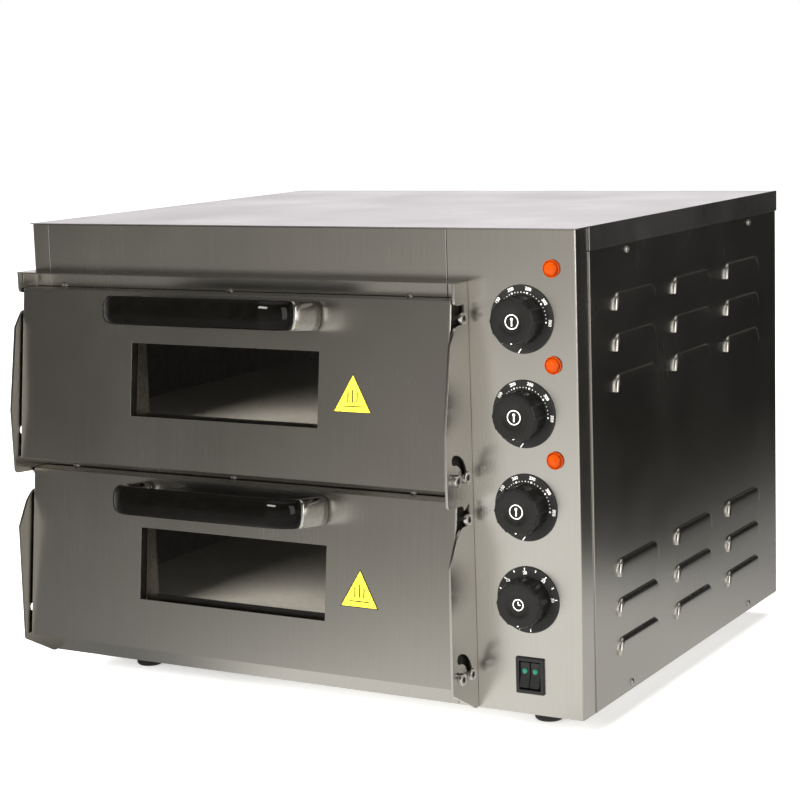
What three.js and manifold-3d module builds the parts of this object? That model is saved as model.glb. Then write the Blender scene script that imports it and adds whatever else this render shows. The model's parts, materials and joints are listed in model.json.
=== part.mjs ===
// Countertop pizza oven: a double-deck electric oven with stone decks, two drop-down
// glass doors, three thermostats, a timer and a double rocker switch.
//
// Units are millimetres. While it is built, the oven stands in its body frame:
// X runs from the body's left side, Y from its front face towards the back, and
// Z up from its bottom sheet. The last lines shift the finished group so that its
// origin is the middle of its footprint, at the height its feet stand on.

import * as THREE from 'three';
import { mergeVertices } from 'three/addons/utils/BufferGeometryUtils.js';
import Module from 'manifold-3d';

const wasm = await Module();
wasm.setup();

// ---------------------------------------------------------------- driving dimensions

const BODY = { width: 560, depth: 475, height: 411 };
const FOOT = { height: 24, radius: 13, inset: 64, setback: 64, stud: 4, studTop: 7, room: 12 };
const SHEET = 1; // thickness of the folded stainless sheet
const SLIVER = 0.006; // widest flaw that a cut may leave
const GAP = 0.3; // clearance between pieces that touch on the real oven
const LAP = 1.3; // how far a sheet tucked behind its neighbour lies inside it

const PANEL_X = 440.6; // left edge of the control panel
const POST = 20; // width of the left panel's front return
const RETURN = 24.3; // depth of the control panel's return on the right side
const HEM = 1.2; // width of the raised hem along the right side panel's front edge
const SKIRT = 20; // height of the top cover's side skirts
const OVERHANG = 1.5; // the top cover's front edge stands this far out
const TRAY_WALL = 12; // height of the base pan's side walls
const CANOPY = { drop: 44.5, reach: 25.3, tab: [-20, -5], tabBottom: 356 };
const FLANGE = { width: 14, z: [12, 345] }; // the hinge plates' flange on the front

const DECK_PITCH = 170; // one deck stands this far above the other
const PIVOT = { y: -32, z: 33.4 }; // hinge axis of the lower door
const HINGE = { plate: 2.5, span: 460, slotRadius: 17, slotHalf: 4.2 };
const BOLT = { radius: 4, head: 5.3, thick: 3.5, socket: 2.6 };
const PIN = { radius: 3.4, head: 5.3 };

const DOOR = {
  x0: 4.3,
  x1: 455.7,
  below: 7.7, // bottom edge below the hinge axis
  above: 149, // top edge above the hinge axis
  faceBottom: -40.5, // Y of the outer face at the bottom edge
  faceTop: -22, // and at the top edge
  back: -3.3, // Y of the inner face
  corner: 3, // chamfer that lets the lower back corner swing past the body
};
const WINDOW = { x0: 130.8, x1: 329.2, z0: 45.6, z1: 111.4, setback: 8, pane: 4, margin: 7 };
const HANDLE = { x0: 127.5, x1: 330.5, z: 141.3, height: 25.4, reach: 58.4, thick: 15.6, bend: 28.6 };

const CHAMBER = { x0: 30, x1: 430, floor: 28, height: 134, depth: 420 };
const SILL = 26; // the mouths start this far above the chambers' floors
const STONE = { thick: 14, rise: 16, ledge: 10, x0: 30.6, x1: 429.4, y0: 8, y1: 408 };
const HEATER = { radius: 4, passes: 4, pitch: 90, x0: 60, x1: 400, y0: 75, end: 434 };
const HEATER_LOW = 7; // above the chamber's floor
const HEATER_HIGH = 9; // below its ceiling
const WOOL_PACK = { x0: 4, y: [2, 455], z: [2, 371], slack: 0.5 };
const SHIELD = { x: [436.5, 437.5], y: [4, 455], z: [1.5, 400], hole: 6, holeY: 300, holeZ: [190, 60] };

const CONTROL_X = 509.5; // the knobs' column
const LAMP_X = 537.2; // the lamps' column
const DIALS_Z = [336.3, 257.4, 178.5, 99.6];
const LAMPS_Z = [378.4, 299.2, 220.0];
const DIAL = { radius: 28.8, thick: 1.2, hole: 6 };
const KNOB = { radius: 21.3, flute: 0.5, flutes: 12, depth: 19.2, dish: 10, bore: 3.3 };
const SPINDLE = { radius: 3, tip: -13.5, bush: 5 };
const LAMP = { bezel: 7.7, lens: 6.4, body: 5.2 };
const SWITCH = { x0: 497, x1: 523, z0: 18, z1: 49.5, proud: 2.2, depth: 22, well: 10 };
const ROCKER = { width: 8.9, half: 10.8, tilt: 9, pivotY: 3 };

const GLAND = { x: 500, z: 60, hole: 8.4, bore: 4 }; // where the supply cable enters
const VENT = { x0: 360, z0: 300, width: 70, height: 5, columns: 2, rows: 5, across: 110, up: 14 };
const TERMINALS = { x: [470, 530], y: [372, 396], height: 22, lanes: 3, pitch: 18, lane: 14 };
const LOUVRE = { length: 88, height: 15, bulge: 5.5, end: 12 };
const LOUVRE_Y = [117, 246.5, 376];
const LOUVRE_Z = [336.7, 301.9, 267.1, 107, 72.2, 37.4];

// ------------------------------------------------------------------------- materials

const finish = (color, roughness, metalness) => ({ color, roughness, metalness });
const STEEL = finish(0x9a948b, 0.35, 0.9);
const DARK_STEEL = finish(0x6d675f, 0.4, 0.9);
const CHROME = finish(0xe2ded8, 0.12, 1.0);
const BLACK_GLOSS = finish(0x0d0b0a, 0.18, 0.0);
const CHARCOAL = finish(0x33302d, 0.5, 0.0);
const RUBBER = finish(0x161515, 0.85, 0.0);
const GLASS = finish(0x3a3630, 0.05, 0.0);
const STONE_GREY = finish(0xb4aea3, 0.8, 0.0);
const ALUMINISED = finish(0x77726a, 0.45, 0.8);
const HEATER_SHEATH = finish(0x3d3a38, 0.5, 0.8);
const WOOL = finish(0xd9d2c2, 0.95, 0.0);
const AMBER = finish(0xe8650f, 0.2, 0.0);
const BAKELITE = finish(0x2a2623, 0.6, 0.0);
const CERAMIC = finish(0xe6e0d6, 0.5, 0.0);

// --------------------------------------------------------------------- solid helpers

// Points are set on a grid of a thousandth, so that faces meant to be flush are flush.
function solid(geometry) {
  geometry.deleteAttribute('normal');
  geometry.deleteAttribute('uv');
  const { array } = geometry.attributes.position;
  array.forEach((value, i) => { array[i] = Math.round(value * 1000) / 1000; });
  const merged = mergeVertices(geometry);
  const mesh = new wasm.Mesh({
    numProp: 3,
    vertProperties: new Float32Array(merged.attributes.position.array),
    triVerts: new Uint32Array(merged.index.array),
  });
  return new wasm.Manifold(mesh);
}

function block([x0, x1], [y0, y1], [z0, z1]) {
  const geometry = new THREE.BoxGeometry(x1 - x0, y1 - y0, z1 - z0);
  return solid(geometry.translate((x0 + x1) / 2, (y0 + y1) / 2, (z0 + z1) / 2));
}

// A round bar along x, y or z; (a, b) is its centre in the other two, in order.
function rod(axis, radius, from, to, a = 0, b = 0, sides = 20) {
  const geometry = new THREE.CylinderGeometry(radius, radius, to - from, sides);
  const middle = (from + to) / 2;
  if (axis === 'x') geometry.rotateZ(Math.PI / 2).translate(middle, a, b);
  if (axis === 'y') geometry.translate(a, middle, b);
  if (axis === 'z') geometry.rotateX(Math.PI / 2).translate(a, b, middle);
  return solid(geometry);
}

// A body of revolution about the y axis from [radius, y] points, in order of rising y.
function turned(profile, sides = 20) {
  return solid(new THREE.LatheGeometry(profile.map(([r, y]) => new THREE.Vector2(r, y)), sides));
}

// A [y, z] shape drawn out along x.
function sideProfile(shape, x0, x1) {
  const geometry = new THREE.ExtrudeGeometry(shape,
    { depth: x1 - x0, bevelEnabled: false, curveSegments: 3 });
  const turn = new THREE.Matrix4().makeBasis(
    new THREE.Vector3(0, 1, 0), new THREE.Vector3(0, 0, 1), new THREE.Vector3(1, 0, 0));
  return solid(geometry.applyMatrix4(turn).translate(x0, 0, 0));
}

function shapeOf(points) {
  return new THREE.Shape(points.map(([a, b]) => new THREE.Vector2(a, b)));
}

const join = (first, ...others) => others.reduce((whole, part) => whole.add(part), first);
const cut = (first, ...tools) => tools.reduce((rest, tool) => rest.subtract(tool), first);

function part(name, body, look, place = {}) {
  // Cuts through flush faces leave slivers a few thousandths wide, which are dropped.
  const { vertProperties, triVerts } = body.simplify(SLIVER).getMesh();
  const geometry = new THREE.BufferGeometry();
  geometry.setAttribute('position', new THREE.BufferAttribute(vertProperties, 3));
  geometry.setIndex(new THREE.BufferAttribute(triVerts, 1));
  geometry.computeVertexNormals();
  const mesh = new THREE.Mesh(geometry, new THREE.MeshStandardMaterial(look));
  mesh.name = name;
  if (place.at) mesh.position.set(...place.at);
  if (place.turn) mesh.rotation.set(...place.turn);
  return mesh;
}

// ------------------------------------------------------------------------- the body

const FRONT = [0, SHEET];
const WALL_TOP = BODY.height - SHEET - GAP;
const BACK = BODY.depth - LAP; // the rear panel's outer face

function footPlaces() {
  const left = FOOT.inset;
  const right = BODY.width - FOOT.inset;
  const near = FOOT.setback;
  const far = BODY.depth - FOOT.setback;
  return {
    foot_front_left: [left, near],
    foot_front_right: [right, near],
    foot_rear_left: [left, far],
    foot_rear_right: [right, far],
  };
}

function basePan() {
  const x = [LAP + SHEET + GAP, BODY.width - LAP - SHEET - GAP];
  const y = [SHEET + GAP, BODY.depth - 2 * LAP - SHEET];
  const tray = join(
    block(x, y, [0, SHEET]),
    block([x[0], x[0] + SHEET], y, [0, TRAY_WALL]),
    block([x[1] - SHEET, x[1]], y, [0, TRAY_WALL]));
  const studs = Object.values(footPlaces()).map(
    ([a, b]) => rod('z', FOOT.stud + 0.4, -1, 2 * SHEET, a, b, 16));
  return cut(tray, ...studs);
}

function leftSidePanel() {
  const y = [0, BACK];
  return join(
    block([LAP, LAP + SHEET], y, [0, WALL_TOP]),
    block([LAP, POST], FRONT, [0, WALL_TOP]));
}

// One louvre, pressed outwards from the sheet and open along its lower edge. Its
// origin is the middle of that edge on the sheet's outer face, and +X is outwards.
function louvreShell(shrink) {
  const radius = LOUVRE.end - shrink;
  const pillow = new THREE.CapsuleGeometry(radius, LOUVRE.length - 2 * LOUVRE.end, 2, 8);
  return solid(pillow.scale(
    (LOUVRE.bulge - shrink) / radius, 1, (LOUVRE.height - shrink) / radius));
}

function rightSidePanel() {
  const outer = BODY.width - LAP;
  const sheet = block([outer - SHEET, outer], [RETURN + GAP, BACK], [0, WALL_TOP]);
  const reach = LOUVRE.length;
  const hood = louvreShell(0).intersect(block([-SHEET / 2, reach], [-reach, reach], [0, reach]));
  const hollow = louvreShell(SHEET).intersect(
    block([-reach, reach], [-reach, reach], [-0.5, reach]));
  const places = LOUVRE_Y.flatMap((y) => LOUVRE_Z.map((z) => [outer, y, z]));
  const hem = block([outer - SHEET, outer + SHEET], [RETURN + GAP, RETURN + GAP + HEM],
    [0, BODY.height - SKIRT - GAP]);
  const pressed = join(sheet, hem, ...places.map((place) => hood.translate(place)));
  return cut(pressed, ...places.map((place) => hollow.translate(place)));
}

function rearPanel() {
  const x = [LAP + SHEET + GAP, BODY.width - LAP - SHEET - GAP];
  const sheet = block(x, [BACK - SHEET, BACK], [0, WALL_TOP]);
  const through = [BACK - 3, BACK + 3];
  const slots = [];
  for (let column = 0; column < VENT.columns; column += 1) {
    for (let row = 0; row < VENT.rows; row += 1) {
      const x0 = VENT.x0 + column * VENT.across;
      const z0 = VENT.z0 + row * VENT.up;
      slots.push(block([x0, x0 + VENT.width], through, [z0, z0 + VENT.height]));
    }
  }
  return cut(sheet, ...slots, rod('y', GLAND.hole, ...through, GLAND.x, GLAND.z, 20));
}

function topCover() {
  const top = [BODY.height - SHEET, BODY.height];
  const down = [BODY.height - SKIRT, BODY.height];
  const y = [RETURN + GAP, BODY.depth];
  return join(
    block([0, BODY.width], [-OVERHANG, BODY.depth], top),
    block([0, SHEET], y, down),
    block([BODY.width - SHEET, BODY.width], y, down),
    block([0, BODY.width], [BODY.depth - SHEET, BODY.depth], down));
}

function deckFloor(deck) {
  return CHAMBER.floor + deck * DECK_PITCH;
}

function frontFrame() {
  const sheet = block([POST + GAP, PANEL_X - GAP], FRONT, [0, WALL_TOP]);
  const mouths = [0, 1].map((deck) => {
    const floor = deckFloor(deck);
    return block([CHAMBER.x0, CHAMBER.x1], [-1, 2],
      [floor + SILL, floor + CHAMBER.height]);
  });
  return cut(sheet, ...mouths);
}

function controlPanel() {
  const right = BODY.width - LAP;
  const sheet = join(
    block([PANEL_X, right], FRONT, [0, WALL_TOP]),
    block([right - SHEET, right], [0, RETURN], [0, WALL_TOP]));
  const spindles = DIALS_Z.map((z) => rod('y', SPINDLE.bush + 0.4, -1, 2, CONTROL_X, z, 16));
  const lamps = LAMPS_Z.map((z) => rod('y', LAMP.body + GAP, -1, 2, LAMP_X, z, 16));
  const cutout = block([SWITCH.x0 + 1.7, SWITCH.x1 - 1.7], [-1, 2],
    [SWITCH.z0 + 2.2, SWITCH.z1 - 2.2]);
  return cut(sheet, ...spindles, ...lamps, cutout);
}

// A flat shelf over the upper door, with a tab down the inside of each hinge plate.
function hoodCanopy() {
  const underside = BODY.height - CANOPY.drop;
  const inner = [HINGE.plate + GAP, HINGE.span - HINGE.plate - GAP];
  const tab = (x0) => block([x0, x0 + SHEET], CANOPY.tab, [CANOPY.tabBottom, underside]);
  return join(
    block([0, HINGE.span + 1], [-CANOPY.reach, -GAP], [underside, underside + SHEET]),
    tab(inner[0]),
    tab(inner[1] - SHEET));
}

function cableGland() {
  const body = turned(
    [[0, -12], [8, -12], [8, GAP], [12, GAP], [12, 6], [9, 11], [6, 13.5], [0, 13.5]], 12);
  const bore = rod('y', GLAND.bore, -13, 15, 0, 0, 12);
  return cut(body, bore).translate([GLAND.x, BACK, GLAND.z]);
}

function foot() {
  return turned([
    [0, -FOOT.height], [FOOT.radius - 2.5, -FOOT.height], [FOOT.radius, -FOOT.height + 4],
    [FOOT.radius, -GAP], [FOOT.stud, -GAP], [FOOT.stud, FOOT.studTop], [0, FOOT.studTop],
  ], 16);
}

// ------------------------------------------------------------ the two baking chambers

function chamberLiner(deck) {
  const z0 = deckFloor(deck);
  const z1 = z0 + CHAMBER.height;
  const x = [CHAMBER.x0, CHAMBER.x1];
  const y = [SHEET + GAP, CHAMBER.depth];
  const shell = cut(
    block([x[0] - SHEET, x[1] + SHEET], [y[0], y[1] + SHEET], [z0 - SHEET, z1 + SHEET]),
    block(x, [y[0] - 1, y[1]], [z0, z1]));
  const ledgeTop = z0 + STONE.rise - GAP;
  const ledges = [[x[0], x[0] + STONE.ledge], [x[1] - STONE.ledge, x[1]]].map(
    (span) => block(span, [y[0], y[1]], [ledgeTop - SHEET, ledgeTop]));
  const lastRun = HEATER.y0 + (HEATER.passes - 1) * HEATER.pitch;
  const terminals = heaterLevels(deck).flatMap((z) => [HEATER.y0, lastRun].map(
    (yEnd) => rod('x', HEATER.radius + 0.5, x[1] - 1, x[1] + 3, yEnd, z, 16)));
  return cut(join(shell, ...ledges), ...terminals);
}

function stoneDeck(deck) {
  const z0 = deckFloor(deck) + STONE.rise;
  return block([STONE.x0, STONE.x1], [STONE.y0, STONE.y1], [z0, z0 + STONE.thick]);
}

// Heights of the lower and the upper heating element of a deck.
function heaterLevels(deck) {
  return [deckFloor(deck) + HEATER_LOW, deckFloor(deck) + CHAMBER.height - HEATER_HIGH];
}

// A route made of straight runs and bends; an extrusion takes one section per point.
class Route extends THREE.Curve {
  constructor(points) {
    super();
    this.points = points;
  }

  getPoint(t) {
    const last = this.points.length - 1;
    const index = Math.min(Math.floor(t * last), last - 1);
    return this.points[index].clone().lerp(this.points[index + 1], t * last - index);
  }

  getPointAt(t) {
    return this.getPoint(t);
  }

  getTangentAt(t) {
    const last = this.points.length - 1;
    const index = Math.round(t * last);
    const leg = (i) => this.points[i + 1].clone().sub(this.points[i]).normalize();
    const before = leg(Math.max(index - 1, 0));
    return before.add(leg(Math.min(index, last - 1))).normalize();
  }
}

function heater(z) {
  const points = [];
  const bend = HEATER.pitch / 2;
  for (let pass = 0; pass < HEATER.passes; pass += 1) {
    const y = HEATER.y0 + pass * HEATER.pitch;
    const leftward = pass % 2 === 0;
    const start = pass === 0 ? HEATER.end : leftward ? HEATER.x1 - bend : HEATER.x0 + bend;
    const lastPass = pass === HEATER.passes - 1;
    const end = lastPass ? HEATER.end : leftward ? HEATER.x0 + bend : HEATER.x1 - bend;
    points.push(new THREE.Vector3(start, y, z), new THREE.Vector3(end, y, z));
    for (let step = 1; step < 5 && !lastPass; step += 1) {
      const angle = (step * Math.PI) / 5;
      const out = bend * Math.sin(angle) * (leftward ? -1 : 1);
      points.push(new THREE.Vector3(end + out, y + bend - bend * Math.cos(angle), z));
    }
  }
  const section = new THREE.Shape().absarc(0, 0, HEATER.radius, 0, 2 * Math.PI);
  return solid(new THREE.ExtrudeGeometry(section, {
    steps: points.length - 1, extrudePath: new Route(points), curveSegments: 4, bevelEnabled: false,
  }));
}

// Mineral wool over, between, under, left of and behind the two chambers.
function insulationBlanket() {
  const { slack } = WOOL_PACK;
  const wool = block([WOOL_PACK.x0, CHAMBER.x1 + 0.7], WOOL_PACK.y, WOOL_PACK.z);
  const hollows = [0, 1].map((deck) => {
    const floor = deckFloor(deck);
    return block(
      [CHAMBER.x0 - SHEET - slack, CHAMBER.x1 + 2],
      [0, CHAMBER.depth + SHEET + slack],
      [floor - SHEET - slack, floor + CHAMBER.height + SHEET + slack]);
  });
  const studs = [FOOT.setback, BODY.depth - FOOT.setback].map(
    (y) => rod('z', FOOT.room, 1, FOOT.studTop + 2, FOOT.inset, y, 12));
  return cut(wool, ...hollows, ...studs);
}

function heatShield() {
  const plate = block(SHIELD.x, SHIELD.y, SHIELD.z);
  const holes = SHIELD.holeZ.map(
    (z) => rod('x', SHIELD.hole, SHIELD.x[0] - 2, SHIELD.x[1] + 2, SHIELD.holeY, z, 12));
  return cut(plate, ...holes);
}

// --------------------------------------------------------------------- hinge plates

const UPPER_PIVOT_Z = PIVOT.z + DECK_PITCH;

// The plate carries both doors of one side: a hook and a notch for each latch bolt, a
// hole for each pivot bolt, and a quarter-round slot for each guide pin.
function hingeOutline() {
  const outline = new THREE.Shape();
  const top = BODY.height - 44.8;
  const notch = -7.2;
  outline.moveTo(-GAP, top);
  outline.lineTo(-24, top);
  outline.lineTo(-24, 352.5);
  outline.quadraticCurveTo(-24, 348, -19.5, 348);
  outline.lineTo(notch, 348);
  outline.lineTo(notch, 334.5);
  outline.quadraticCurveTo(notch, 331.6, -10.5, 331.6);
  outline.lineTo(-19, 331.6);
  outline.quadraticCurveTo(-23, 331.2, -25.5, 327.5);
  outline.lineTo(-33.2, 317);
  outline.lineTo(-46, 241);
  outline.lineTo(-45.2, 184);
  outline.lineTo(-43, 181.2);
  outline.lineTo(-19.5, 179.6);
  outline.lineTo(-16.2, 175);
  outline.lineTo(notch, 180.5);
  outline.lineTo(notch, 164.5);
  outline.quadraticCurveTo(notch, 161.6, -10.5, 161.6);
  outline.lineTo(-19, 161.6);
  outline.quadraticCurveTo(-23, 161.2, -26, 158);
  outline.lineTo(-31.5, 152.5);
  outline.lineTo(-44, 130);
  outline.lineTo(-45, 23);
  outline.lineTo(-43.4, 21);
  outline.lineTo(-5, GAP);
  outline.lineTo(-GAP, GAP);
  outline.closePath();
  return outline;
}

function arcSlot(pivotZ) {
  const { slotRadius: r, slotHalf: half } = HINGE;
  const from = -0.03;
  const to = Math.PI / 2 + 0.03;
  const at = (angle) => [PIVOT.y + r * Math.cos(angle), pivotZ + r * Math.sin(angle)];
  const slot = new THREE.Shape();
  slot.absarc(PIVOT.y, pivotZ, r + half, from, to, false);
  slot.absarc(...at(to), half, to, to + Math.PI, false);
  slot.absarc(PIVOT.y, pivotZ, r - half, to, from, true);
  slot.absarc(...at(from), half, from + Math.PI, from + 2 * Math.PI, false);
  return slot;
}

function hingePlate(x0, flangeX) {
  const plate = sideProfile(hingeOutline(), x0, x0 + HINGE.plate);
  const flange = block(flangeX, [-SHEET - GAP, -GAP], FLANGE.z);
  const slots = [PIVOT.z, UPPER_PIVOT_Z].flatMap((z) => {
    const geometry = new THREE.ExtrudeGeometry(arcSlot(z),
      { depth: 3 * HINGE.plate, bevelEnabled: false, curveSegments: 3 });
    geometry.applyMatrix4(new THREE.Matrix4().makeBasis(
      new THREE.Vector3(0, 1, 0), new THREE.Vector3(0, 0, 1), new THREE.Vector3(1, 0, 0)));
    return [
      solid(geometry.translate(x0 - HINGE.plate, 0, 0)),
      rod('x', BOLT.radius + GAP, x0 - 1, x0 + HINGE.plate + 1, PIVOT.y, z),
    ];
  });
  return cut(join(plate, flange), ...slots);
}

// A socket-head bolt along +X: its head ends at x = thick and its shank runs to -length.
function socketBolt(radius, head, length) {
  const shank = rod('x', radius, -length, 0.5, 0, 0, 16);
  const cap = rod('x', head, 0, BOLT.thick, 0, 0, 20);
  return cut(join(shank, cap), rod('x', BOLT.socket, 1, BOLT.thick + 1, 0, 0, 6));
}

// ---------------------------------------------------------------------------- doors

// Each door is built in a group whose origin is on its hinge axis, so y and z below
// are measured from that axis; x is still the body's.
const door = {
  z0: -DOOR.below,
  z1: DOOR.above,
  front0: DOOR.faceBottom - PIVOT.y,
  front1: DOOR.faceTop - PIVOT.y,
  back: DOOR.back - PIVOT.y,
};
const TILT = Math.atan2(door.front1 - door.front0, door.z1 - door.z0);
const UPRIGHT = { at: [0, door.front0, door.z0], turn: [-TILT, 0, 0] };

// Moves a body from the tilted face's own frame into the door's: there y = 0 is the
// outer face, with y into the door and z up along the face from its bottom edge.
function ontoFace(body) {
  return body.rotate([(-TILT * 180) / Math.PI, 0, 0]).translate(UPRIGHT.at);
}

function doorWedge(inset, back) {
  const slope = (door.front1 - door.front0) / (door.z1 - door.z0);
  const z0 = door.z0 + inset;
  const z1 = door.z1 - inset;
  const front = (z) => door.front0 + slope * (z - door.z0) + inset / Math.cos(TILT);
  const corner = DOOR.corner;
  const points = inset
    ? [[front(z0), z0], [back, z0], [back, z1], [front(z1), z1]]
    : [[front(z0), z0], [back - corner, z0], [back, z0 + corner], [back, z1], [front(z1), z1]];
  return sideProfile(shapeOf(points), DOOR.x0 + inset, DOOR.x1 - inset);
}

function windowBlock(grow, y, extra = 0) {
  return block([WINDOW.x0 - grow, WINDOW.x1 + grow], y,
    [WINDOW.z0 - grow - extra, WINDOW.z1 + grow + extra]);
}

function doorSkin() {
  const back = door.back - SHEET - GAP;
  const shell = cut(doorWedge(0, back), doorWedge(SHEET, back + 5));
  const reveal = ontoFace(windowBlock(SHEET, [0.2, WINDOW.setback]));
  const holes = [0, 1].flatMap((side) => {
    const x = side ? DOOR.x1 - SHEET / 2 : DOOR.x0 + SHEET / 2;
    return [
      rod('x', BOLT.radius + 0.5, x - 2, x + 2, 0, 0),
      rod('x', PIN.radius + GAP, x - 2, x + 2, HINGE.slotRadius, 0),
    ];
  });
  return cut(join(shell, reveal), ontoFace(windowBlock(0, [-5, WINDOW.setback + 5])), ...holes);
}

function doorLiner() {
  const y = [door.back - SHEET, door.back];
  const z = [door.z0 + DOOR.corner, door.z1];
  const sheet = block([DOOR.x0, DOOR.x1], y, z);
  const paneBack = WINDOW.setback + GAP + WINDOW.pane;
  const low = door.z0 + WINDOW.z0;
  const high = door.z0 + WINDOW.z1;
  const span = [WINDOW.x0 - 2, WINDOW.x1 + 2];
  const tunnel = cut(
    block([span[0] - SHEET, span[1] + SHEET], [0, y[1]], [low - 4, high + 1]),
    ontoFace(windowBlock(40, [-30, paneBack + GAP], 30)));
  return cut(join(sheet, tunnel), block(span, [-20, y[1] + 5], [low - 3, high]));
}

function doorGlass() {
  const y0 = WINDOW.setback + GAP;
  return windowBlock(WINDOW.margin, [y0, y0 + WINDOW.pane]);
}

// A bow handle: a bar that bends back to the door at each end.
function doorHandle() {
  const { x0, x1, reach, thick, height, bend } = HANDLE;
  const inner = bend - thick;
  const bevel = 5;
  const outline = new THREE.Shape();
  outline.moveTo(x0, bevel);
  outline.lineTo(x0, -reach + bend);
  outline.absarc(x0 + bend, -reach + bend, bend, Math.PI, 1.5 * Math.PI, false);
  outline.absarc(x1 - bend, -reach + bend, bend, -Math.PI / 2, 0, false);
  outline.lineTo(x1, bevel);
  outline.lineTo(x1 - thick, bevel);
  outline.absarc(x1 - bend, -reach + bend, inner, 0, -Math.PI / 2, true);
  outline.absarc(x0 + bend, -reach + bend, inner, -Math.PI / 2, -Math.PI, true);
  outline.lineTo(x0 + thick, bevel);
  outline.closePath();
  const geometry = new THREE.ExtrudeGeometry(outline, {
    depth: height - 2 * bevel, bevelThickness: bevel, bevelSize: bevel, bevelOffset: -bevel,
    bevelSegments: 2, curveSegments: 5,
  });
  const bow = solid(geometry.translate(0, 0, -height / 2 + bevel));
  return bow.intersect(block([x0 - 5, x1 + 5], [-reach - 5, -GAP], [-height, height]));
}

function doorGroup(deck) {
  const group = new THREE.Group();
  group.position.set(0, PIVOT.y, PIVOT.z + deck * DECK_PITCH);
  const name = deck ? 'upper' : 'lower';
  group.add(part(`${name}_door_skin`, doorSkin(), deck ? DARK_STEEL : STEEL));
  group.add(part(`${name}_door_liner`, doorLiner(), ALUMINISED));
  group.add(part(`${name}_door_glass`, doorGlass(), GLASS, UPRIGHT));
  const handle = doorHandle().translate([0, 0, HANDLE.z]);
  group.add(part(`${name}_door_handle`, handle, BLACK_GLOSS, UPRIGHT));
  const pin = socketBolt(PIN.radius, PIN.head, 12);
  const pinY = HINGE.slotRadius;
  group.add(part(`${name}_guide_pin_right`, pin, CHROME, { at: [HINGE.span + GAP, pinY, 0] }));
  group.add(part(`${name}_guide_pin_left`, pin, CHROME,
    { at: [-GAP, pinY, 0], turn: [0, 0, Math.PI] }));
  return group;
}

// --------------------------------------------------------------------------- controls

function dialDisc() {
  const { radius, hole, thick } = DIAL;
  const disc = turned([[0, 0], [radius, 0], [radius, thick - 0.4], [radius - 0.4, thick], [0, thick]], 30);
  return cut(disc, rod('y', hole, -1, thick + 1, 0, 0, 16));
}

// The knob's axis is y and its grip faces -y; its rim has shallow flutes.
function knob() {
  const count = KNOB.flutes * 3;
  const points = [];
  for (let i = 0; i < count; i += 1) {
    const angle = (i * 2 * Math.PI) / count;
    const radius = KNOB.radius - KNOB.flute * (0.5 + 0.5 * Math.cos(KNOB.flutes * angle));
    points.push([radius * Math.cos(angle), radius * Math.sin(angle)]);
  }
  const bevel = 1.6;
  const geometry = new THREE.ExtrudeGeometry(shapeOf(points), {
    depth: KNOB.depth - bevel, bevelThickness: bevel, bevelSize: bevel, bevelOffset: -bevel,
    bevelSegments: 1,
  });
  const lengthened = solid(geometry.rotateX(Math.PI / 2));
  const grip = lengthened.intersect(block([-30, 30], [-KNOB.depth, 0], [-30, 30]));
  return cut(grip,
    rod('y', KNOB.dish, -KNOB.depth - 1, -KNOB.depth + 1.2, 0, 0, 18),
    rod('y', KNOB.bore, -13, 1, 0, 0, 12));
}

// A thermostat or timer: a case behind the panel, a bush through it and a spindle.
function control(width, height, depth) {
  const start = SHEET + GAP;
  return join(
    block([-width / 2, width / 2], [start, start + depth], [-height / 2, height / 2]),
    rod('y', SPINDLE.bush, -DIAL.thick - GAP, start + 1, 0, 0, 16),
    rod('y', SPINDLE.radius, SPINDLE.tip, start + 1, 0, 0, 12));
}

function pilotLamp() {
  return turned([
    [0, -5.4], [2.8, -5.1], [5, -4.2], [LAMP.lens, -2.4], [LAMP.bezel - 0.5, -2.2],
    [LAMP.bezel, -1.6], [LAMP.bezel, -GAP], [LAMP.body, -GAP], [LAMP.body, 20], [0, 20],
  ], 14);
}

const SWITCH_Z = (SWITCH.z0 + SWITCH.z1) / 2;

function switchHousing() {
  const { x0, x1, z0, z1, proud, depth, well } = SWITCH;
  const frame = block([x0, x1], [-proud, -GAP], [z0, z1]);
  const case_ = block([x0 + 2, x1 - 2], [-proud, depth], [z0 + 2.5, z1 - 2.5]);
  const pocket = block([x0 + 3.2, x1 - 3.2], [-proud - 1, well],
    [SWITCH_Z - 12.3, SWITCH_Z + 12.3]);
  return cut(join(frame, case_), pocket);
}

// A rocker about its own pivot, resting with its upper half pressed in.
function rocker() {
  const h = ROCKER.half;
  const shape = shapeOf([[-5.5, -h], [1, -h + 0.4], [5, -3], [5, 3], [1, h - 0.4], [-5.5, h], [-3.4, 0]]);
  return sideProfile(shape, -ROCKER.width / 2, ROCKER.width / 2).rotate([-ROCKER.tilt, 0, 0]);
}

// A ceramic block with open lanes, standing on the base pan.
function terminalBlock() {
  const { x, y, height, pitch, lane } = TERMINALS;
  const lanes = Array.from({ length: TERMINALS.lanes }, (_, i) => {
    const x0 = x[0] + 5 + i * pitch;
    return block([x0, x0 + lane], [y[0] + 4, y[1] - 4], [height - 6, height + 1]);
  });
  return cut(block(x, y, [SHEET + GAP, height]), ...lanes);
}

// --------------------------------------------------------------------------- assembly

const oven = new THREE.Group();

oven.add(
  part('base_pan', basePan(), STEEL),
  part('left_side_panel', leftSidePanel(), STEEL),
  part('right_side_panel', rightSidePanel(), STEEL),
  part('rear_panel', rearPanel(), STEEL),
  part('top_cover', topCover(), STEEL),
  part('front_frame', frontFrame(), DARK_STEEL),
  part('control_panel', controlPanel(), STEEL),
  part('hood_canopy', hoodCanopy(), DARK_STEEL),
  part('cable_gland', cableGland(), BAKELITE),
  part('left_hinge_plate', hingePlate(0, [0, FLANGE.width]), STEEL),
  part('right_hinge_plate',
    hingePlate(HINGE.span - HINGE.plate, [HINGE.span - FLANGE.width, HINGE.span]), STEEL),
  part('insulation_blanket', insulationBlanket(), WOOL),
  part('heat_shield', heatShield(), ALUMINISED),
  part('terminal_block', terminalBlock(), CERAMIC));

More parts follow.
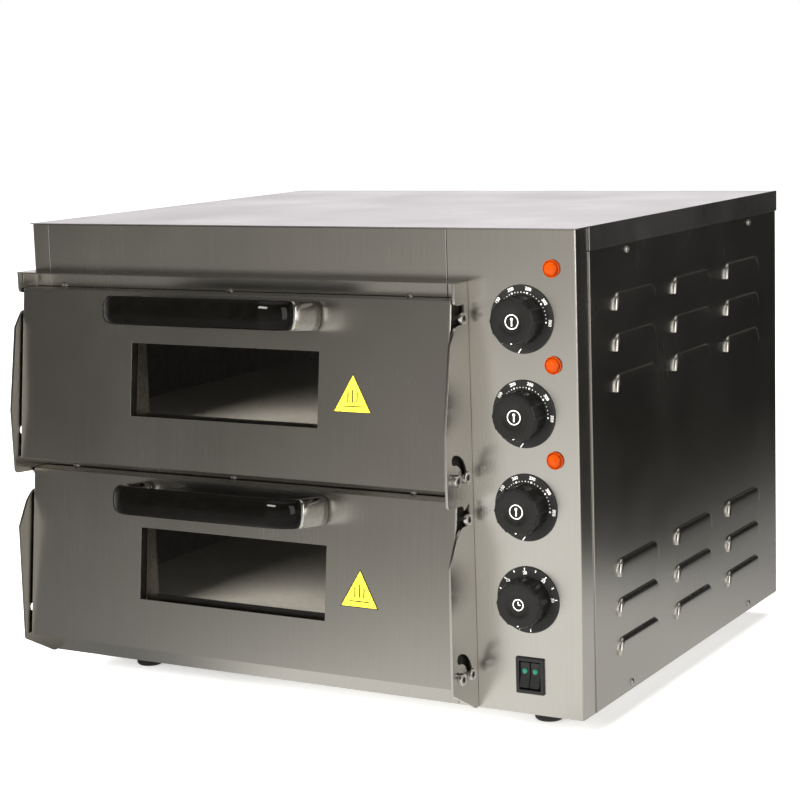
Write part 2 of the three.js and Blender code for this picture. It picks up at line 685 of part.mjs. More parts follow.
for (const [name, [x, y]] of Object.entries(footPlaces())) {
  oven.add(part(name, foot().rotate([90, 0, 0]), RUBBER, { at: [x, y, 0] }));
}

for (const deck of [0, 1]) {
  const name = deck ? 'upper' : 'lower';
  const [lowLevel, highLevel] = heaterLevels(deck);
  const pivotZ = PIVOT.z + deck * DECK_PITCH;
  const pivotBolt = socketBolt(BOLT.radius, BOLT.head, 16);
  oven.add(
    part(`${name}_chamber_liner`, chamberLiner(deck), ALUMINISED),
    part(`${name}_stone_deck`, stoneDeck(deck), STONE_GREY),
    part(`${name}_bottom_heater`, heater(lowLevel), HEATER_SHEATH),
    part(`${name}_top_heater`, heater(highLevel), HEATER_SHEATH),
    part(`${name}_pivot_bolt_right`, pivotBolt, CHROME,
      { at: [HINGE.span + GAP, PIVOT.y, pivotZ] }),
    part(`${name}_pivot_bolt_left`, pivotBolt, CHROME,
      { at: [-GAP, PIVOT.y, pivotZ], turn: [0, 0, Math.PI] }),
    doorGroup(deck));
}

const CONTROLS = ['top', 'middle', 'bottom', 'timer'];
DIALS_Z.forEach((z, i) => {
  const timer = CONTROLS[i] === 'timer';
  oven.add(
    part(`${CONTROLS[i]}_dial`, dialDisc(), CHARCOAL, { at: [CONTROL_X, -DIAL.thick - GAP, z] }),
    part(`${CONTROLS[i]}_knob`, knob(), CHARCOAL, { at: [CONTROL_X, -DIAL.thick - 2 * GAP, z] }),
    part(timer ? 'timer_movement' : `${CONTROLS[i]}_thermostat`,
      timer ? control(40, 40, 32) : control(34, 30, 24), BAKELITE, { at: [CONTROL_X, 0, z] }));
});
LAMPS_Z.forEach((z, i) => {
  oven.add(part(`${CONTROLS[i]}_lamp`, pilotLamp(), AMBER, { at: [LAMP_X, 0, z] }));
});

const rockerX = ROCKER.width / 2 + 0.4;
const switchX = (SWITCH.x0 + SWITCH.x1) / 2;
oven.add(
  part('switch_housing', switchHousing(), CHARCOAL),
  part('left_rocker', rocker(), BAKELITE, { at: [switchX - rockerX, ROCKER.pivotY, SWITCH_Z] }),
  part('right_rocker', rocker(), BAKELITE, { at: [switchX + rockerX, ROCKER.pivotY, SWITCH_Z] }));

// The origin: middle of the footprint, at the underside of the feet.
const extent = new THREE.Box3().setFromObject(oven);
oven.position.set(
  -(extent.min.x + extent.max.x) / 2, -(extent.min.y + extent.max.y) / 2, -extent.min.z);

const group = new THREE.Group();
group.add(oven);

export default group;
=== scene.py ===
"""Looks for the countertop pizza oven: sheet metal, doors, controls and a plain studio.

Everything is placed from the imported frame. Shapes are worked out in millimetres, either
in the body's own frame (X from its left side, Y back from its front, Z up from its bottom
sheet), on a door's leaning face or on a dial, and a matrix takes them to the row frame.
"""

import json
import math

import bmesh
import bpy
from mathutils import Matrix, Vector

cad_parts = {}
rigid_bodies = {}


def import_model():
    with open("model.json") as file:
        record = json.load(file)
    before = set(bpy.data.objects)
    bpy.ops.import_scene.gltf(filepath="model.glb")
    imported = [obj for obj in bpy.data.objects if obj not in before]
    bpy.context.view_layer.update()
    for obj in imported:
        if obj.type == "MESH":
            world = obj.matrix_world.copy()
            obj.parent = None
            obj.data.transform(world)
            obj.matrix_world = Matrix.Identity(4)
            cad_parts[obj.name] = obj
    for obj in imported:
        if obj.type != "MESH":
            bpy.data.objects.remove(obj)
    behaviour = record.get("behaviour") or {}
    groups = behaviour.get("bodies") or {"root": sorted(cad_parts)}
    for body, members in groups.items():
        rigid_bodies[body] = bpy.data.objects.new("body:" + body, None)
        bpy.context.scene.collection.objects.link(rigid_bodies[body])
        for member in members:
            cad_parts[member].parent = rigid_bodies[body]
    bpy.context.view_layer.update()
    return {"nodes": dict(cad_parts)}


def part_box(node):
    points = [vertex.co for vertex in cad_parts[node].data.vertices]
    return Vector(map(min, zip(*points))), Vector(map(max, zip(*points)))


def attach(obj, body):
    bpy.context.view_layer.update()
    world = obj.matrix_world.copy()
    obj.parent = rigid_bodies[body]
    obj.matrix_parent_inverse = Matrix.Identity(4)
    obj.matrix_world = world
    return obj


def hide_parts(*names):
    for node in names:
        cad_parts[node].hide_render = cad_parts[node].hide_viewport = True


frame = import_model()

# ------------------------------------------------------------------ places and sizes

MM = 0.001

BODY = Vector((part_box("top_cover")[0].x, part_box("front_frame")[0].y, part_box("base_pan")[0].z))

DECKS = ("lower", "upper")
THERMOSTATS = ("top", "middle", "bottom")
CONTROLS = THERMOSTATS + ("timer",)
FEET = ("foot_front_left", "foot_front_right", "foot_rear_left", "foot_rear_right")

FACE_LEAN = 18.5  # the doors' outer faces lean back this far from bottom to top
BEND = 1.6  # outer radius of a folded sheet edge that shows
SHEET = 1.0
EDGE = 0.3  # rounding of a cut sheet edge
SKIN_EDGE = 0.45  # rounding of the door skins' cut edges, which are dressed

HANDLE = {"x0": 127.5, "x1": 330.5, "z": 141.3, "height": 25.4, "reach": 58.4, "thick": 15.6,
          "bend": 28.6}
HANDLE_SIDES = 48  # corners of the handle's section
HANDLE_CORNERS = 0.8  # power that makes its section a little squarer than an ellipse
SLEEVE = 6  # steps of the handle's path, from each foot, that its chromed sleeve takes in
STICKER = {"x": 363.7, "z": 60.5, "side": 39, "rise": 33.8}

HEM = 1.2  # width of the raised hem along the right side sheet's front edge
SKIRT = 19.3  # the side sheets show up to this far below their top

PRESSED = 5.5  # the right side's sheet lies this far inside its box
LOUVRE = {"length": 88, "height": 15, "bulge": 3.2, "end": 9}
LOUVRE_SHARES = (0.02, 0.04, 0.07, 0.1, 0.14, 0.18, 0.24, 0.32, 0.5, 0.75, 1.0)
LOUVRE_FILLET = 0.07  # share of the way to the lip that the fillet along the sheet takes up
LOUVRE_Y = (117, 246.5, 376)
LOUVRE_Z = (336.7, 301.9, 267.1, 107, 72.2, 37.4)

BOLT = {"head": 5.3, "thick": 3.5, "socket": 2.6}
LATCH = {"y": 17.5, "z": 134.1, "shank": 3.5}  # from the hinge axis
SCREW_RADIUS = 3.2
FRONT_SCREWS = ((36, 353), (221, 352), (38, 182), (216, 182.8), (404, 352), (402, 182))  # x, z
SIDE_SCREWS = ((103, 385.6), (398, 385), (101, 6.4), (392, 6.5))  # y, z
REAR_SCREWS = [(x, z) for z in (380, 12) for x in (30, 280, 530)]

FLUTES = 12
FIGURES = 3.8  # height of the dials' figures

HEATER = {"radius": 4, "passes": 4, "pitch": 90, "x0": 60, "x1": 400, "y0": 75, "end": 434}


def body_point(x, y, z):
    """A point of the body's own frame, in millimetres, as a point of the row frame."""
    return BODY + MM * Vector((x, y, z))


def middle(node):
    low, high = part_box(node)
    return (low + high) / 2


def at(point):
    """Takes millimetres round a point of the row frame to that frame."""
    return Matrix.Translation(point) @ Matrix.Scale(MM, 4)


def body_box(node):
    """A node's low and high corners in the body's own frame, in millimetres."""
    return [at(BODY).inverted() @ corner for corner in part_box(node)]


def turned_box(node):
    """The middle of a turned node's back, with its radius and depth in millimetres."""
    low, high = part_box(node)
    back = middle(node)
    back.y = high.y
    return back, (high.x - low.x) / MM / 2, (high.y - low.y) / MM


def on_door(deck):
    """Takes millimetres on a door's face to the row frame: y = 0 is its outer face, y grows
    into the door and z runs up the face from its bottom edge."""
    low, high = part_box(f"{deck}_door_skin")
    lean = math.atan2(FACE_LEAN * MM, high.z - low.z)
    corner = Vector((BODY.x, low.y, low.z))
    return at(corner) @ Matrix.Rotation(-lean, 4, "X")


# -------------------------------------------------------------------------- materials


def add(tree, kind, inputs=None, **settings):
    """A node with its settings and inputs; an input that is a socket is linked."""
    made = tree.nodes.new(kind)
    for name, value in settings.items():
        setattr(made, name, value)
    for name, value in (inputs or {}).items():
        if isinstance(value, bpy.types.NodeSocket):
            tree.links.new(value, made.inputs[name])
        else:
            made.inputs[name].default_value = value
    return made


def principled(name, **constants):
    """A new material with its Principled node, whose constant sockets are set by name."""
    material = bpy.data.materials.new(name)
    material.use_nodes = True
    tree = material.node_tree
    shader = tree.nodes["Principled BSDF"]
    for socket, value in constants.items():
        shader.inputs[socket.replace("_", " ")].default_value = value
    return material, tree, shader


def object_place(tree):
    return add(tree, "ShaderNodeTexCoord").outputs["Object"]


def noise(tree, vector, scale, detail=2.0):
    made = add(tree, "ShaderNodeTexNoise", {"Vector": vector, "Scale": scale, "Detail": detail})
    return made.outputs["Fac"]


def ramp(tree, value, *stops):
    """A colour ramp through (position, colour) stops."""
    made = add(tree, "ShaderNodeValToRGB", {"Fac": value})
    elements = made.color_ramp.elements
    while len(elements) < len(stops):
        elements.new(0.5)
    for element, (position, colour) in zip(elements, stops):
        element.position = position
        element.color = (*colour, 1.0)
    return made.outputs["Color"]


def remap(tree, value, start, end, low=0.0, high=1.0, **settings):
    """Maps start..end to low..high, and holds those ends beyond."""
    made = add(tree, "ShaderNodeMapRange", {"Value": value, "From Min": start, "From Max": end,
                                            "To Min": low, "To Max": high}, **settings)
    return made.outputs["Result"]


def spread(tree, value, low, high):
    """Maps a noise value's middle range to low..high."""
    return remap(tree, value, 0.3, 0.7, low, high)


def bump(tree, height, strength, distance):
    made = add(tree, "ShaderNodeBump",
               {"Height": height, "Strength": strength, "Distance": distance * MM})
    return made.outputs["Normal"]


def average(tree, first, second, share=0.5):
    made = add(tree, "ShaderNodeMix", {"Factor": share, "A": first, "B": second})
    return made.outputs["Result"]


def blend(tree, share, socket, colour):
    """Mixes a plain colour into a colour socket."""
    made = add(tree, "ShaderNodeMix", {"Factor": share, "A": socket, "B": (*colour, 1.0)},
               data_type="RGBA")
    return made.outputs[2]


FINE_LINES = (5200, 40, 1)  # per metre, across the brushing and along it
BROAD_STREAKS = (900, 3, 1)


def brushed_steel(name, dark, light, smooth, rough):
    """Stainless sheet. Its Grain map runs across the brushing in u and along it in v."""
    material, tree, shader = principled(name, Metallic=1.0, Anisotropic=0.6)
    grain_uv = add(tree, "ShaderNodeUVMap", uv_map="Grain").outputs["UV"]
    fine = add(tree, "ShaderNodeMapping", {"Vector": grain_uv, "Scale": FINE_LINES})
    broad = add(tree, "ShaderNodeMapping", {"Vector": grain_uv, "Scale": BROAD_STREAKS})
    lines = noise(tree, fine.outputs["Vector"], 1.0, 3.0)
    streaks = noise(tree, broad.outputs["Vector"], 1.0, 3.0)
    clouds = noise(tree, object_place(tree), 9.0, 3.0)
    grain = average(tree, lines, streaks, 0.4)
    wear = average(tree, grain, clouds, 0.6)
    tree.links.new(ramp(tree, grain, (0.35, dark), (0.65, light)), shader.inputs["Base Color"])
    tree.links.new(spread(tree, wear, smooth, rough), shader.inputs["Roughness"])
    tree.links.new(bump(tree, lines, 0.012, 0.01), shader.inputs["Normal"])
    along = add(tree, "ShaderNodeTangent", direction_type="UV_MAP", uv_map="Grain")
    tree.links.new(along.outputs["Tangent"], shader.inputs["Tangent"])
    return material


def speckled(name, dark, light, scale, roughness, grain=0.0, **constants):
    """A surface mottled between two colours, with a roughness range and a fine bump."""
    material, tree, shader = principled(name, **constants)
    place = object_place(tree)
    patches = noise(tree, place, scale, 4.0)
    fine = noise(tree, place, scale * 6, 2.0)
    mixed = average(tree, patches, fine)
    tree.links.new(ramp(tree, mixed, (0.35, dark), (0.65, light)), shader.inputs["Base Color"])
    tree.links.new(spread(tree, mixed, *roughness), shader.inputs["Roughness"])
    if grain:
        tree.links.new(bump(tree, fine, 0.35, grain), shader.inputs["Normal"])
    return material


def clear_glass():
    """A pane that mirrors by its angle and lets the rest through, light included."""
    material, tree, shader = principled("window glass")
    tree.nodes.remove(shader)
    clouds = noise(tree, object_place(tree), 25.0)
    haze = ramp(tree, clouds, (0.3, (0.89, 0.88, 0.86)), (0.7, (0.93, 0.92, 0.9)))
    through = add(tree, "ShaderNodeBsdfTransparent", {"Color": haze})
    mirror = add(tree, "ShaderNodeBsdfGlossy", {"Roughness": 0.02})
    edge = add(tree, "ShaderNodeFresnel", {"IOR": 1.5})
    behind = add(tree, "ShaderNodeNewGeometry").outputs["Backfacing"]
    front = add(tree, "ShaderNodeMath", {0: 1.0, 1: behind}, operation="SUBTRACT")
    share = add(tree, "ShaderNodeMath", {0: edge.outputs["Fac"], 1: front.outputs["Value"]},
                operation="MULTIPLY")
    pane = add(tree, "ShaderNodeMixShader", {"Fac": share.outputs["Value"]})
    tree.links.new(through.outputs["BSDF"], pane.inputs[1])
    tree.links.new(mirror.outputs["BSDF"], pane.inputs[2])
    tree.links.new(pane.outputs["Shader"], tree.nodes["Material Output"].inputs["Surface"])
    return material


STEEL = brushed_steel("brushed steel", (0.54, 0.522, 0.488), (0.58, 0.562, 0.528), 0.2, 0.29)
# A lighter copy of the same steel: painted light for the brighter reflection on the control panel.
LIGHT_PAINTED_PANEL_STEEL = brushed_steel("lighter steel for the panel, painted light", (0.63, 0.61, 0.572), (0.67, 0.65, 0.612), 0.2, 0.29)
# A darker copy of the same steel: painted shade for the dark that the doors and the hood canopy
# mirror.
SHADE_PAINTED_DOOR_STEEL = brushed_steel("darker steel for doors, painted shade", (0.47, 0.452, 0.42), (0.51, 0.492, 0.46), 0.2, 0.29)
# Painted shade: dark matt steel for the doors' outer sides, standing in for the shadowed gap seen
# through the hinge plates' slots.
PAINTED_SIDE_SHADE = speckled("painted shade for door sides", (0.02, 0.018, 0.015), (0.05, 0.045, 0.038), 80.0,
                        (0.45, 0.6), Metallic=0.8)
TOP_STEEL = brushed_steel("top sheet steel", (0.56, 0.54, 0.55), (0.66, 0.64, 0.65), 0.24, 0.36)
BRUSHED = (STEEL, LIGHT_PAINTED_PANEL_STEEL, SHADE_PAINTED_DOOR_STEEL, TOP_STEEL)
INNER_SHEET = speckled("aluminised sheet", (0.25, 0.235, 0.21), (0.4, 0.38, 0.35), 60.0,
                       (0.35, 0.5), 0.02, Metallic=1.0)
CHROME = speckled("bolt chrome", (0.62, 0.61, 0.59), (0.78, 0.77, 0.75), 300.0,
                  (0.08, 0.2), Metallic=1.0)
ZINC = speckled("screw zinc", (0.5, 0.49, 0.46), (0.68, 0.67, 0.64), 400.0,
                (0.2, 0.34), Metallic=1.0)
SOCKET = speckled("socket shade", (0.02, 0.019, 0.018), (0.05, 0.048, 0.045), 300.0,
                  (0.4, 0.6), Metallic=0.6)
GLOSS_BLACK = speckled("handle gloss black", (0.001, 0.0009, 0.0007), (0.002, 0.0018, 0.0015), 90.0,
                       (0.06, 0.1), IOR=1.24)
KNOB_BLACK = speckled("knob satin black", (0.004, 0.0038, 0.0034), (0.009, 0.0086, 0.008), 700.0,
                      (0.3, 0.4), 0.02, IOR=1.42)
DIAL_BLACK = speckled("dial matt black", (0.01, 0.0097, 0.0092), (0.019, 0.0185, 0.0176), 900.0,
                      (0.4, 0.52), 0.02, IOR=1.38)
SWITCH_BLACK = speckled("switch black", (0.006, 0.006, 0.006), (0.012, 0.012, 0.012), 800.0,
                        (0.26, 0.36), 0.01, IOR=1.45)
PRINT_WHITE = speckled("print white", (0.7, 0.69, 0.66), (0.82, 0.81, 0.78), 500.0, (0.5, 0.65))
RUBBER = speckled("foot rubber", (0.008, 0.008, 0.008), (0.02, 0.019, 0.018), 400.0,
                  (0.6, 0.8), 0.05)
STONE = speckled("deck stone", (0.6, 0.58, 0.54), (0.74, 0.72, 0.68), 180.0, (0.75, 0.9), 0.12)
SHEATH = speckled("heater sheath", (0.035, 0.032, 0.03), (0.085, 0.075, 0.068), 120.0,
                  (0.4, 0.6), 0.02, Metallic=0.7)
WOOL = speckled("mineral wool", (0.5, 0.46, 0.36), (0.72, 0.68, 0.58), 260.0, (0.9, 1.0), 0.6)
CERAMIC = speckled("terminal ceramic", (0.7, 0.68, 0.62), (0.8, 0.78, 0.73), 200.0, (0.3, 0.45))
BAKELITE = speckled("bakelite", (0.02, 0.016, 0.013), (0.04, 0.032, 0.027), 300.0,
                    (0.4, 0.55), 0.01)
AMBER = speckled("amber lens", (0.27, 0.028, 0.0005), (0.4, 0.046, 0.001), 350.0,
                 (0.08, 0.16), IOR=1.3)
GREEN = speckled("rocker lens", (0.006, 0.09, 0.06), (0.014, 0.16, 0.11), 500.0, (0.12, 0.22),
                 Coat_Weight=0.5, Coat_Roughness=0.04)
YELLOW = speckled("sticker yellow", (0.84, 0.68, 0.02), (0.92, 0.78, 0.035), 80.0, (0.3, 0.42))
STICKER_BLACK = speckled("sticker ink", (0.02, 0.018, 0.01), (0.04, 0.035, 0.02), 200.0,
                         (0.35, 0.45))
GLASS = clear_glass()

# ------------------------------------------------------------------------ mesh helpers


def grain_map(bm):
    """Maps every face in metres, across the brushing in u and along it in v."""
    layer = bm.loops.layers.uv.new("Grain")
    for face in bm.faces:
        x, y, z = (abs(value) for value in face.normal)
        across, along = (0, 1) if z > max(x, y) else (1, 2) if x > y else (0, 2)
        for loop in face.loops:
            loop[layer].uv = (loop.vert.co[across], loop.vert.co[along])


def placed(name, data):
    """A new object in the scene."""
    made = bpy.data.objects.new(name, data)
    bpy.context.scene.collection.objects.link(made)
    return made


def piece(name, bm, look, body, matrix, nodes=(), smooth=True):
    """Turns a bmesh into a piece that rides on a body and stands for CAD nodes."""
    bm.transform(matrix)
    bmesh.ops.recalc_face_normals(bm, faces=bm.faces)
    bm.normal_update()
    if look in BRUSHED:
        grain_map(bm)
    for face in bm.faces:
        face.smooth = smooth
    mesh = bpy.data.meshes.new(name)
    bm.to_mesh(mesh)
    bm.free()
    mesh.materials.append(look)
    made = placed(name, mesh)
    if smooth:
        made.modifiers.new("even shading", "WEIGHTED_NORMAL").keep_sharp = True
    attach(made, body)
    if nodes:
        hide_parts(*nodes)
    return made


def settle(made):
    """Applies a piece's modifiers to its mesh, which it gives back."""
    bpy.context.view_layer.update()
    evaluated = made.evaluated_get(bpy.context.evaluated_depsgraph_get())
    made.data = bpy.data.meshes.new_from_object(evaluated)
    made.modifiers.clear()
    return made.data


def round_edges(bm, width, steps=2, chosen=None):
    """Rounds the sharp edges, or the chosen ones, to a width in millimetres."""
    bm.normal_update()
    sharp = [edge for edge in bm.edges
             if len(edge.link_faces) == 2 and edge.calc_face_angle() > math.radians(30)]
    if chosen is not None:
        sharp = [edge for edge in sharp if chosen(*(vert.co for vert in edge.verts))]
    bmesh.ops.bevel(bm, geom=sharp, offset=width, offset_type="OFFSET", segments=steps,
                    profile=0.5, affect="EDGES", clamp_overlap=True)


def cad_copy(node):
    """The CAD node's mesh in the body's frame, in millimetres, with its triangles joined
    into whole faces."""
    bm = bmesh.new()
    bm.from_mesh(frame["nodes"][node].data)
    bm.transform(at(BODY).inverted())
    bmesh.ops.remove_doubles(bm, verts=bm.verts, dist=0.002)
    bmesh.ops.dissolve_limit(bm, angle_limit=math.radians(0.6), verts=bm.verts, edges=bm.edges)
    return bm


def turned(bm, profile, steps=48, wobble=None):
    """Adds a body of revolution about the y axis through (radius, y) points. wobble takes an
    angle, a radius and y and gives the radius there."""
    closed = profile[0] == profile[-1]
    rings = []
    for radius, y in profile[:-1] if closed else profile:
        if radius == 0:
            rings.append([bm.verts.new((0, y, 0))] * steps)
            continue
        ring = []
        for i in range(steps):
            angle = 2 * math.pi * i / steps
            r = wobble(angle, radius, y) if wobble else radius
            ring.append(bm.verts.new((r * math.sin(angle), y, -r * math.cos(angle))))
        rings.append(ring)
    if closed:
        rings.append(rings[0])
    for near, far in zip(rings, rings[1:]):
        for i in range(steps):
            j = (i + 1) % steps
            corners = list(dict.fromkeys((near[i], near[j], far[j], far[i])))
            if len(corners) > 2:
                bm.faces.new(corners)


def prism(bm, outline, depth, plan=False):
    """Adds the [x, z] outline, drawn out along y from 0 to depth, or with plan the [x, y]
    outline, drawn out along z."""
    def corners(height):
        return [(a, b, height) if plan else (a, height, b) for a, b in outline]

    near = [bm.verts.new(corner) for corner in corners(0)]
    far = [bm.verts.new(corner) for corner in corners(depth)]
    bm.faces.new(near)
    bm.faces.new(far[::-1])
    count = len(outline)
    for i in range(count):
        j = (i + 1) % count
        bm.faces.new((near[i], far[i], far[j], near[j]))


def disc(radius, steps=14):
    """The outline of a disc in x and z."""
    turns = [2 * math.pi * i / steps for i in range(steps)]
    return [(radius * math.sin(turn), -radius * math.cos(turn)) for turn in turns]


def rounded_rectangle(x0, x1, z0, z1, radius, steps=6):
    """Its outline in x and z."""
    points = []
    corners = ((x1, z0, -90), (x1, z1, 0), (x0, z1, 90), (x0, z0, 180))
    for x, z, start in corners:
        cx = x - math.copysign(radius, x - (x0 + x1) / 2)
        cz = z - math.copysign(radius, z - (z0 + z1) / 2)
        for i in range(steps + 1):
            angle = math.radians(start + 90 * i / steps)
            points.append((cx + radius * math.cos(angle), cz + radius * math.sin(angle)))
    return points


# ----------------------------------------------------------------------- sheet metal


def rounded_copy(name, node, look, body, slot, *rounds):
    """The CAD node as a piece, after each round of round_edges that rounds asks for."""
    bm = cad_copy(node)
    for settings in rounds:
        round_edges(bm, *settings)
    return piece(name, bm, look, body, at(BODY), (node,))


def sheet(node, slot, look=STEEL, bend=None, body="cabinet", edge=EDGE):
    """The CAD sheet with rounded edges; bend picks the folded edges, which are rounder."""
    folds = [(BEND, 4, bend)] if bend else []
    return rounded_copy(f"{node}_sheet", node, look, body, slot, *folds, (edge, 1))


def same(a, b, axis, value, slack=0.05):
    """True if an edge's two ends lie at that value of an axis."""
    return abs(a[axis] - value) < slack and abs(b[axis] - value) < slack


def corner_of(node, x_side, y_side):
    """Picks the upright edges at one outer corner of a node: its sides are 0 low, 1 high."""
    sides = body_box(node)
    return lambda a, b: same(a, b, 0, sides[x_side].x) and same(a, b, 1, sides[y_side].y)


def control_panel():
    """The panel is bent round the cabinet's right corner and dressed along its left edge."""
    node = "control_panel"
    # The panel takes the lighter copy of the steel, painted light for its brighter reflection.
    rounded_copy("control_panel_sheet", node, LIGHT_PAINTED_PANEL_STEEL, "cabinet", "panel_sheet",
                 (BEND, 4, corner_of(node, 1, 0)), (0.9 * SHEET, 3, corner_of(node, 0, 0)),
                 (EDGE, 1))


def cabinet_sheets():
    control_panel()
    sheet("left_side_panel", "side_sheet", bend=corner_of("left_side_panel", 0, 0))
    sheet("front_frame", "body_sheet_dark")
    # The canopy takes the darker copy of the steel, painted shade for its dark reflection.
    sheet("hood_canopy", "body_sheet_dark", SHADE_PAINTED_DOOR_STEEL)
    sheet("top_cover", "top_sheet", TOP_STEEL)
    sheet("rear_panel", "side_sheet")
    sheet("base_pan", "side_sheet")
    sheet("left_hinge_plate", "hinge_steel")
    sheet("right_hinge_plate", "hinge_steel")


def louvre_outline():
    """The louvre's upper edge on the sheet, from its front lower end to its rear one."""
    reach, end, height = LOUVRE["length"] / 2, LOUVRE["end"], LOUVRE["height"]
    margin = 3  # of the straight, next to the end, that the end's shading fades out on
    arc = [(i * math.pi / 2) / 7 for i in range(8)]
    front = [(end - reach - end * math.cos(turn), height * math.sin(turn)) for turn in arc]
    front.append((end + margin - reach, height))
    rear = [(-y, z) for y, z in reversed(front)]
    return front + rear


def louvre_rows():
    """Shares of the way from the outline to the lip, each with its share of the bulge."""
    rows = []
    for share in LOUVRE_SHARES:
        fillet = min(share / LOUVRE_FILLET, 1.0)
        rows.append((share, (1 - (1 - share) ** 9) * fillet * fillet * (3 - 2 * fillet)))
    return rows


def closed_outline(bm, points):
    """Adds a ring of edges through the points and gives back its corners."""
    ring = [bm.verts.new(point) for point in points]
    for near, far in zip(ring, ring[1:] + ring[:1]):
        bm.edges.new((near, far))
    return ring


def louvre(bm, x, y0, z0):
    """Adds a louvre to the sheet at x: rows of faces from its outline out to its lip."""
    straight = LOUVRE["length"] / 2 - LOUVRE["end"]
    outline = louvre_outline()
    row = closed_outline(bm, [(x, y0 + y, z0 + z) for y, z in outline])
    for share, rise in louvre_rows():
        above = row
        row = []
        for y, z in outline:
            spine = max(-straight, min(straight, y))
            row.append(bm.verts.new((x + rise * LOUVRE["bulge"], y0 + y + (spine - y) * share,
                                     z0 + z * (1 - share))))
        for i in range(len(row) - 1):
            bm.faces.new((above[i], above[i + 1], row[i + 1], row[i]))


def louvred_side():
    """The right side sheet, with its louvres pressed out and open along their lower edge."""
    low, high = body_box("right_side_panel")
    x = high.x - PRESSED
    bm = bmesh.new()
    closed_outline(bm, [(x, low.y, low.z), (x, high.y, low.z), (x, high.y, high.z),
                        (x, low.y, high.z)])
    for y0 in LOUVRE_Y:
        for z0 in LOUVRE_Z:
            louvre(bm, x, y0, z0)
    bmesh.ops.remove_doubles(bm, verts=bm.verts, dist=0.001)
    edges = [edge for edge in bm.edges if same(*(v.co for v in edge.verts), 0, x)
             and len(edge.link_faces) < 2]
    bmesh.ops.triangle_fill(bm, edges=edges, use_beauty=True)
    made = piece("louvred_side_sheet", bm, STEEL, "cabinet", at(BODY),
                 ("right_side_panel",))
    made.modifiers.clear()
    wall = made.modifiers.new("sheet", "SOLIDIFY")
    wall.thickness = SHEET * MM
    wall.offset = -1
    settle(made).set_sharp_from_angle(angle=math.radians(50))
    made.modifiers.new("even shading", "WEIGHTED_NORMAL").keep_sharp = True
    side_hem(x, low.y, high.z - SKIRT)


def side_hem(x, front, length):
    """The narrow fold that stands proud along the side sheet's front edge."""
    hem = bmesh.new()
    prism(hem, [(x - 0.9 * SHEET, front), (x + SHEET, front), (x + SHEET, front + HEM),
                (x - 0.9 * SHEET, front + HEM)], length, plan=True)
    round_edges(hem, 0.35, 3)
    piece("side_sheet_hem", hem, STEEL, "cabinet", at(BODY))


def door_sheets(deck):
    """A door's skin, with painted shade on its outer sides, with its liner and its pane."""
    body = f"{deck}_door"
    low, high = body_box(f"{deck}_door_skin")

    def side_fold(a, b):
        outer = same(a, b, 0, low.x) or same(a, b, 0, high.x)
        face = min(a.y, b.y) < low.y + 1 and max(a.y, b.y) < low.y + FACE_LEAN + 1
        return outer and face and abs(a.z - b.z) > 50

    # The skin takes the darker copy of the steel, painted shade for its dark reflection.
    skin = sheet(f"{deck}_door_skin", "door_sheet", SHADE_PAINTED_DOOR_STEEL, side_fold, body, SKIN_EDGE)
    # The skin's outer sides take the painted shade, for the shadowed gap behind the hinge plates'
    # slots.
    skin.data.materials.append(PAINTED_SIDE_SHADE)
    for face in skin.data.polygons:
        face.material_index = int(abs(face.normal.x) > 0.999)
    sheet(f"{deck}_door_liner", "inner_sheet", INNER_SHEET, body=body)
    rounded_copy(f"{deck}_door_pane", f"{deck}_door_glass", GLASS, body, "window_glass", (0.5,))


# ---------------------------------------------------------------- handles and stickers


def handle_path():
    """The middle line of a bow handle about its own middle: places in x and y, each with
    the outward direction there."""
    half = (HANDLE["x1"] - HANDLE["x0"]) / 2
    radius = HANDLE["bend"] - HANDLE["thick"] / 2
    cx, cy = half - HANDLE["bend"], HANDLE["bend"] - HANDLE["reach"]
    foot = half - HANDLE["thick"] / 2
    path = [((foot, y), (1, 0)) for y in (-0.3, -10, -20)]
    for step in range(13):
        turn = step * math.pi / 24
        out = (math.cos(turn), -math.sin(turn))
        path.append(((cx + radius * out[0], cy + radius * out[1]), out))
    mirrored = [((-x, y), (-out_x, out_y)) for (x, y), (out_x, out_y) in reversed(path)]
    return path + mirrored


def swept_bar(path):
    """A full round-edged bar along part of the handle's path."""
    bm = bmesh.new()
    rings = []
    for (x, y), (out_x, out_y) in path:
        ring = []
        for step in range(HANDLE_SIDES):
            turn = 2 * math.pi * step / HANDLE_SIDES
            deep, high = (math.copysign(abs(value) ** HANDLE_CORNERS, value)
                          for value in (math.cos(turn), math.sin(turn)))
            out = deep * HANDLE["thick"] / 2
            ring.append(bm.verts.new((x + out * out_x, y + out * out_y,
                                      high * HANDLE["height"] / 2)))
        rings.append(ring)
    for near, far in zip(rings, rings[1:]):
        for i in range(HANDLE_SIDES):
            j = (i + 1) % HANDLE_SIDES
            bm.faces.new((near[i], near[j], far[j], far[i]))
    for ring in (rings[0], rings[-1]):
        bm.faces.new(ring)
    return bm


def bow_handle(deck):
    """The black bow, and a chromed sleeve on each of its feet."""
    path = handle_path()
    body = f"{deck}_door"
    place = on_door(deck) @ Matrix.Translation(((HANDLE["x0"] + HANDLE["x1"]) / 2, 0, HANDLE["z"]))
    piece(f"{deck}_bow_handle", swept_bar(path[SLEEVE:-SLEEVE]), GLOSS_BLACK, body,
          place, (f"{deck}_door_handle",))
    for side, part in (("right", path[:SLEEVE + 1]), ("left", path[-SLEEVE - 1:])):
        piece(f"{deck}_handle_sleeve_{side}", swept_bar(part), CHROME, body,
              place)


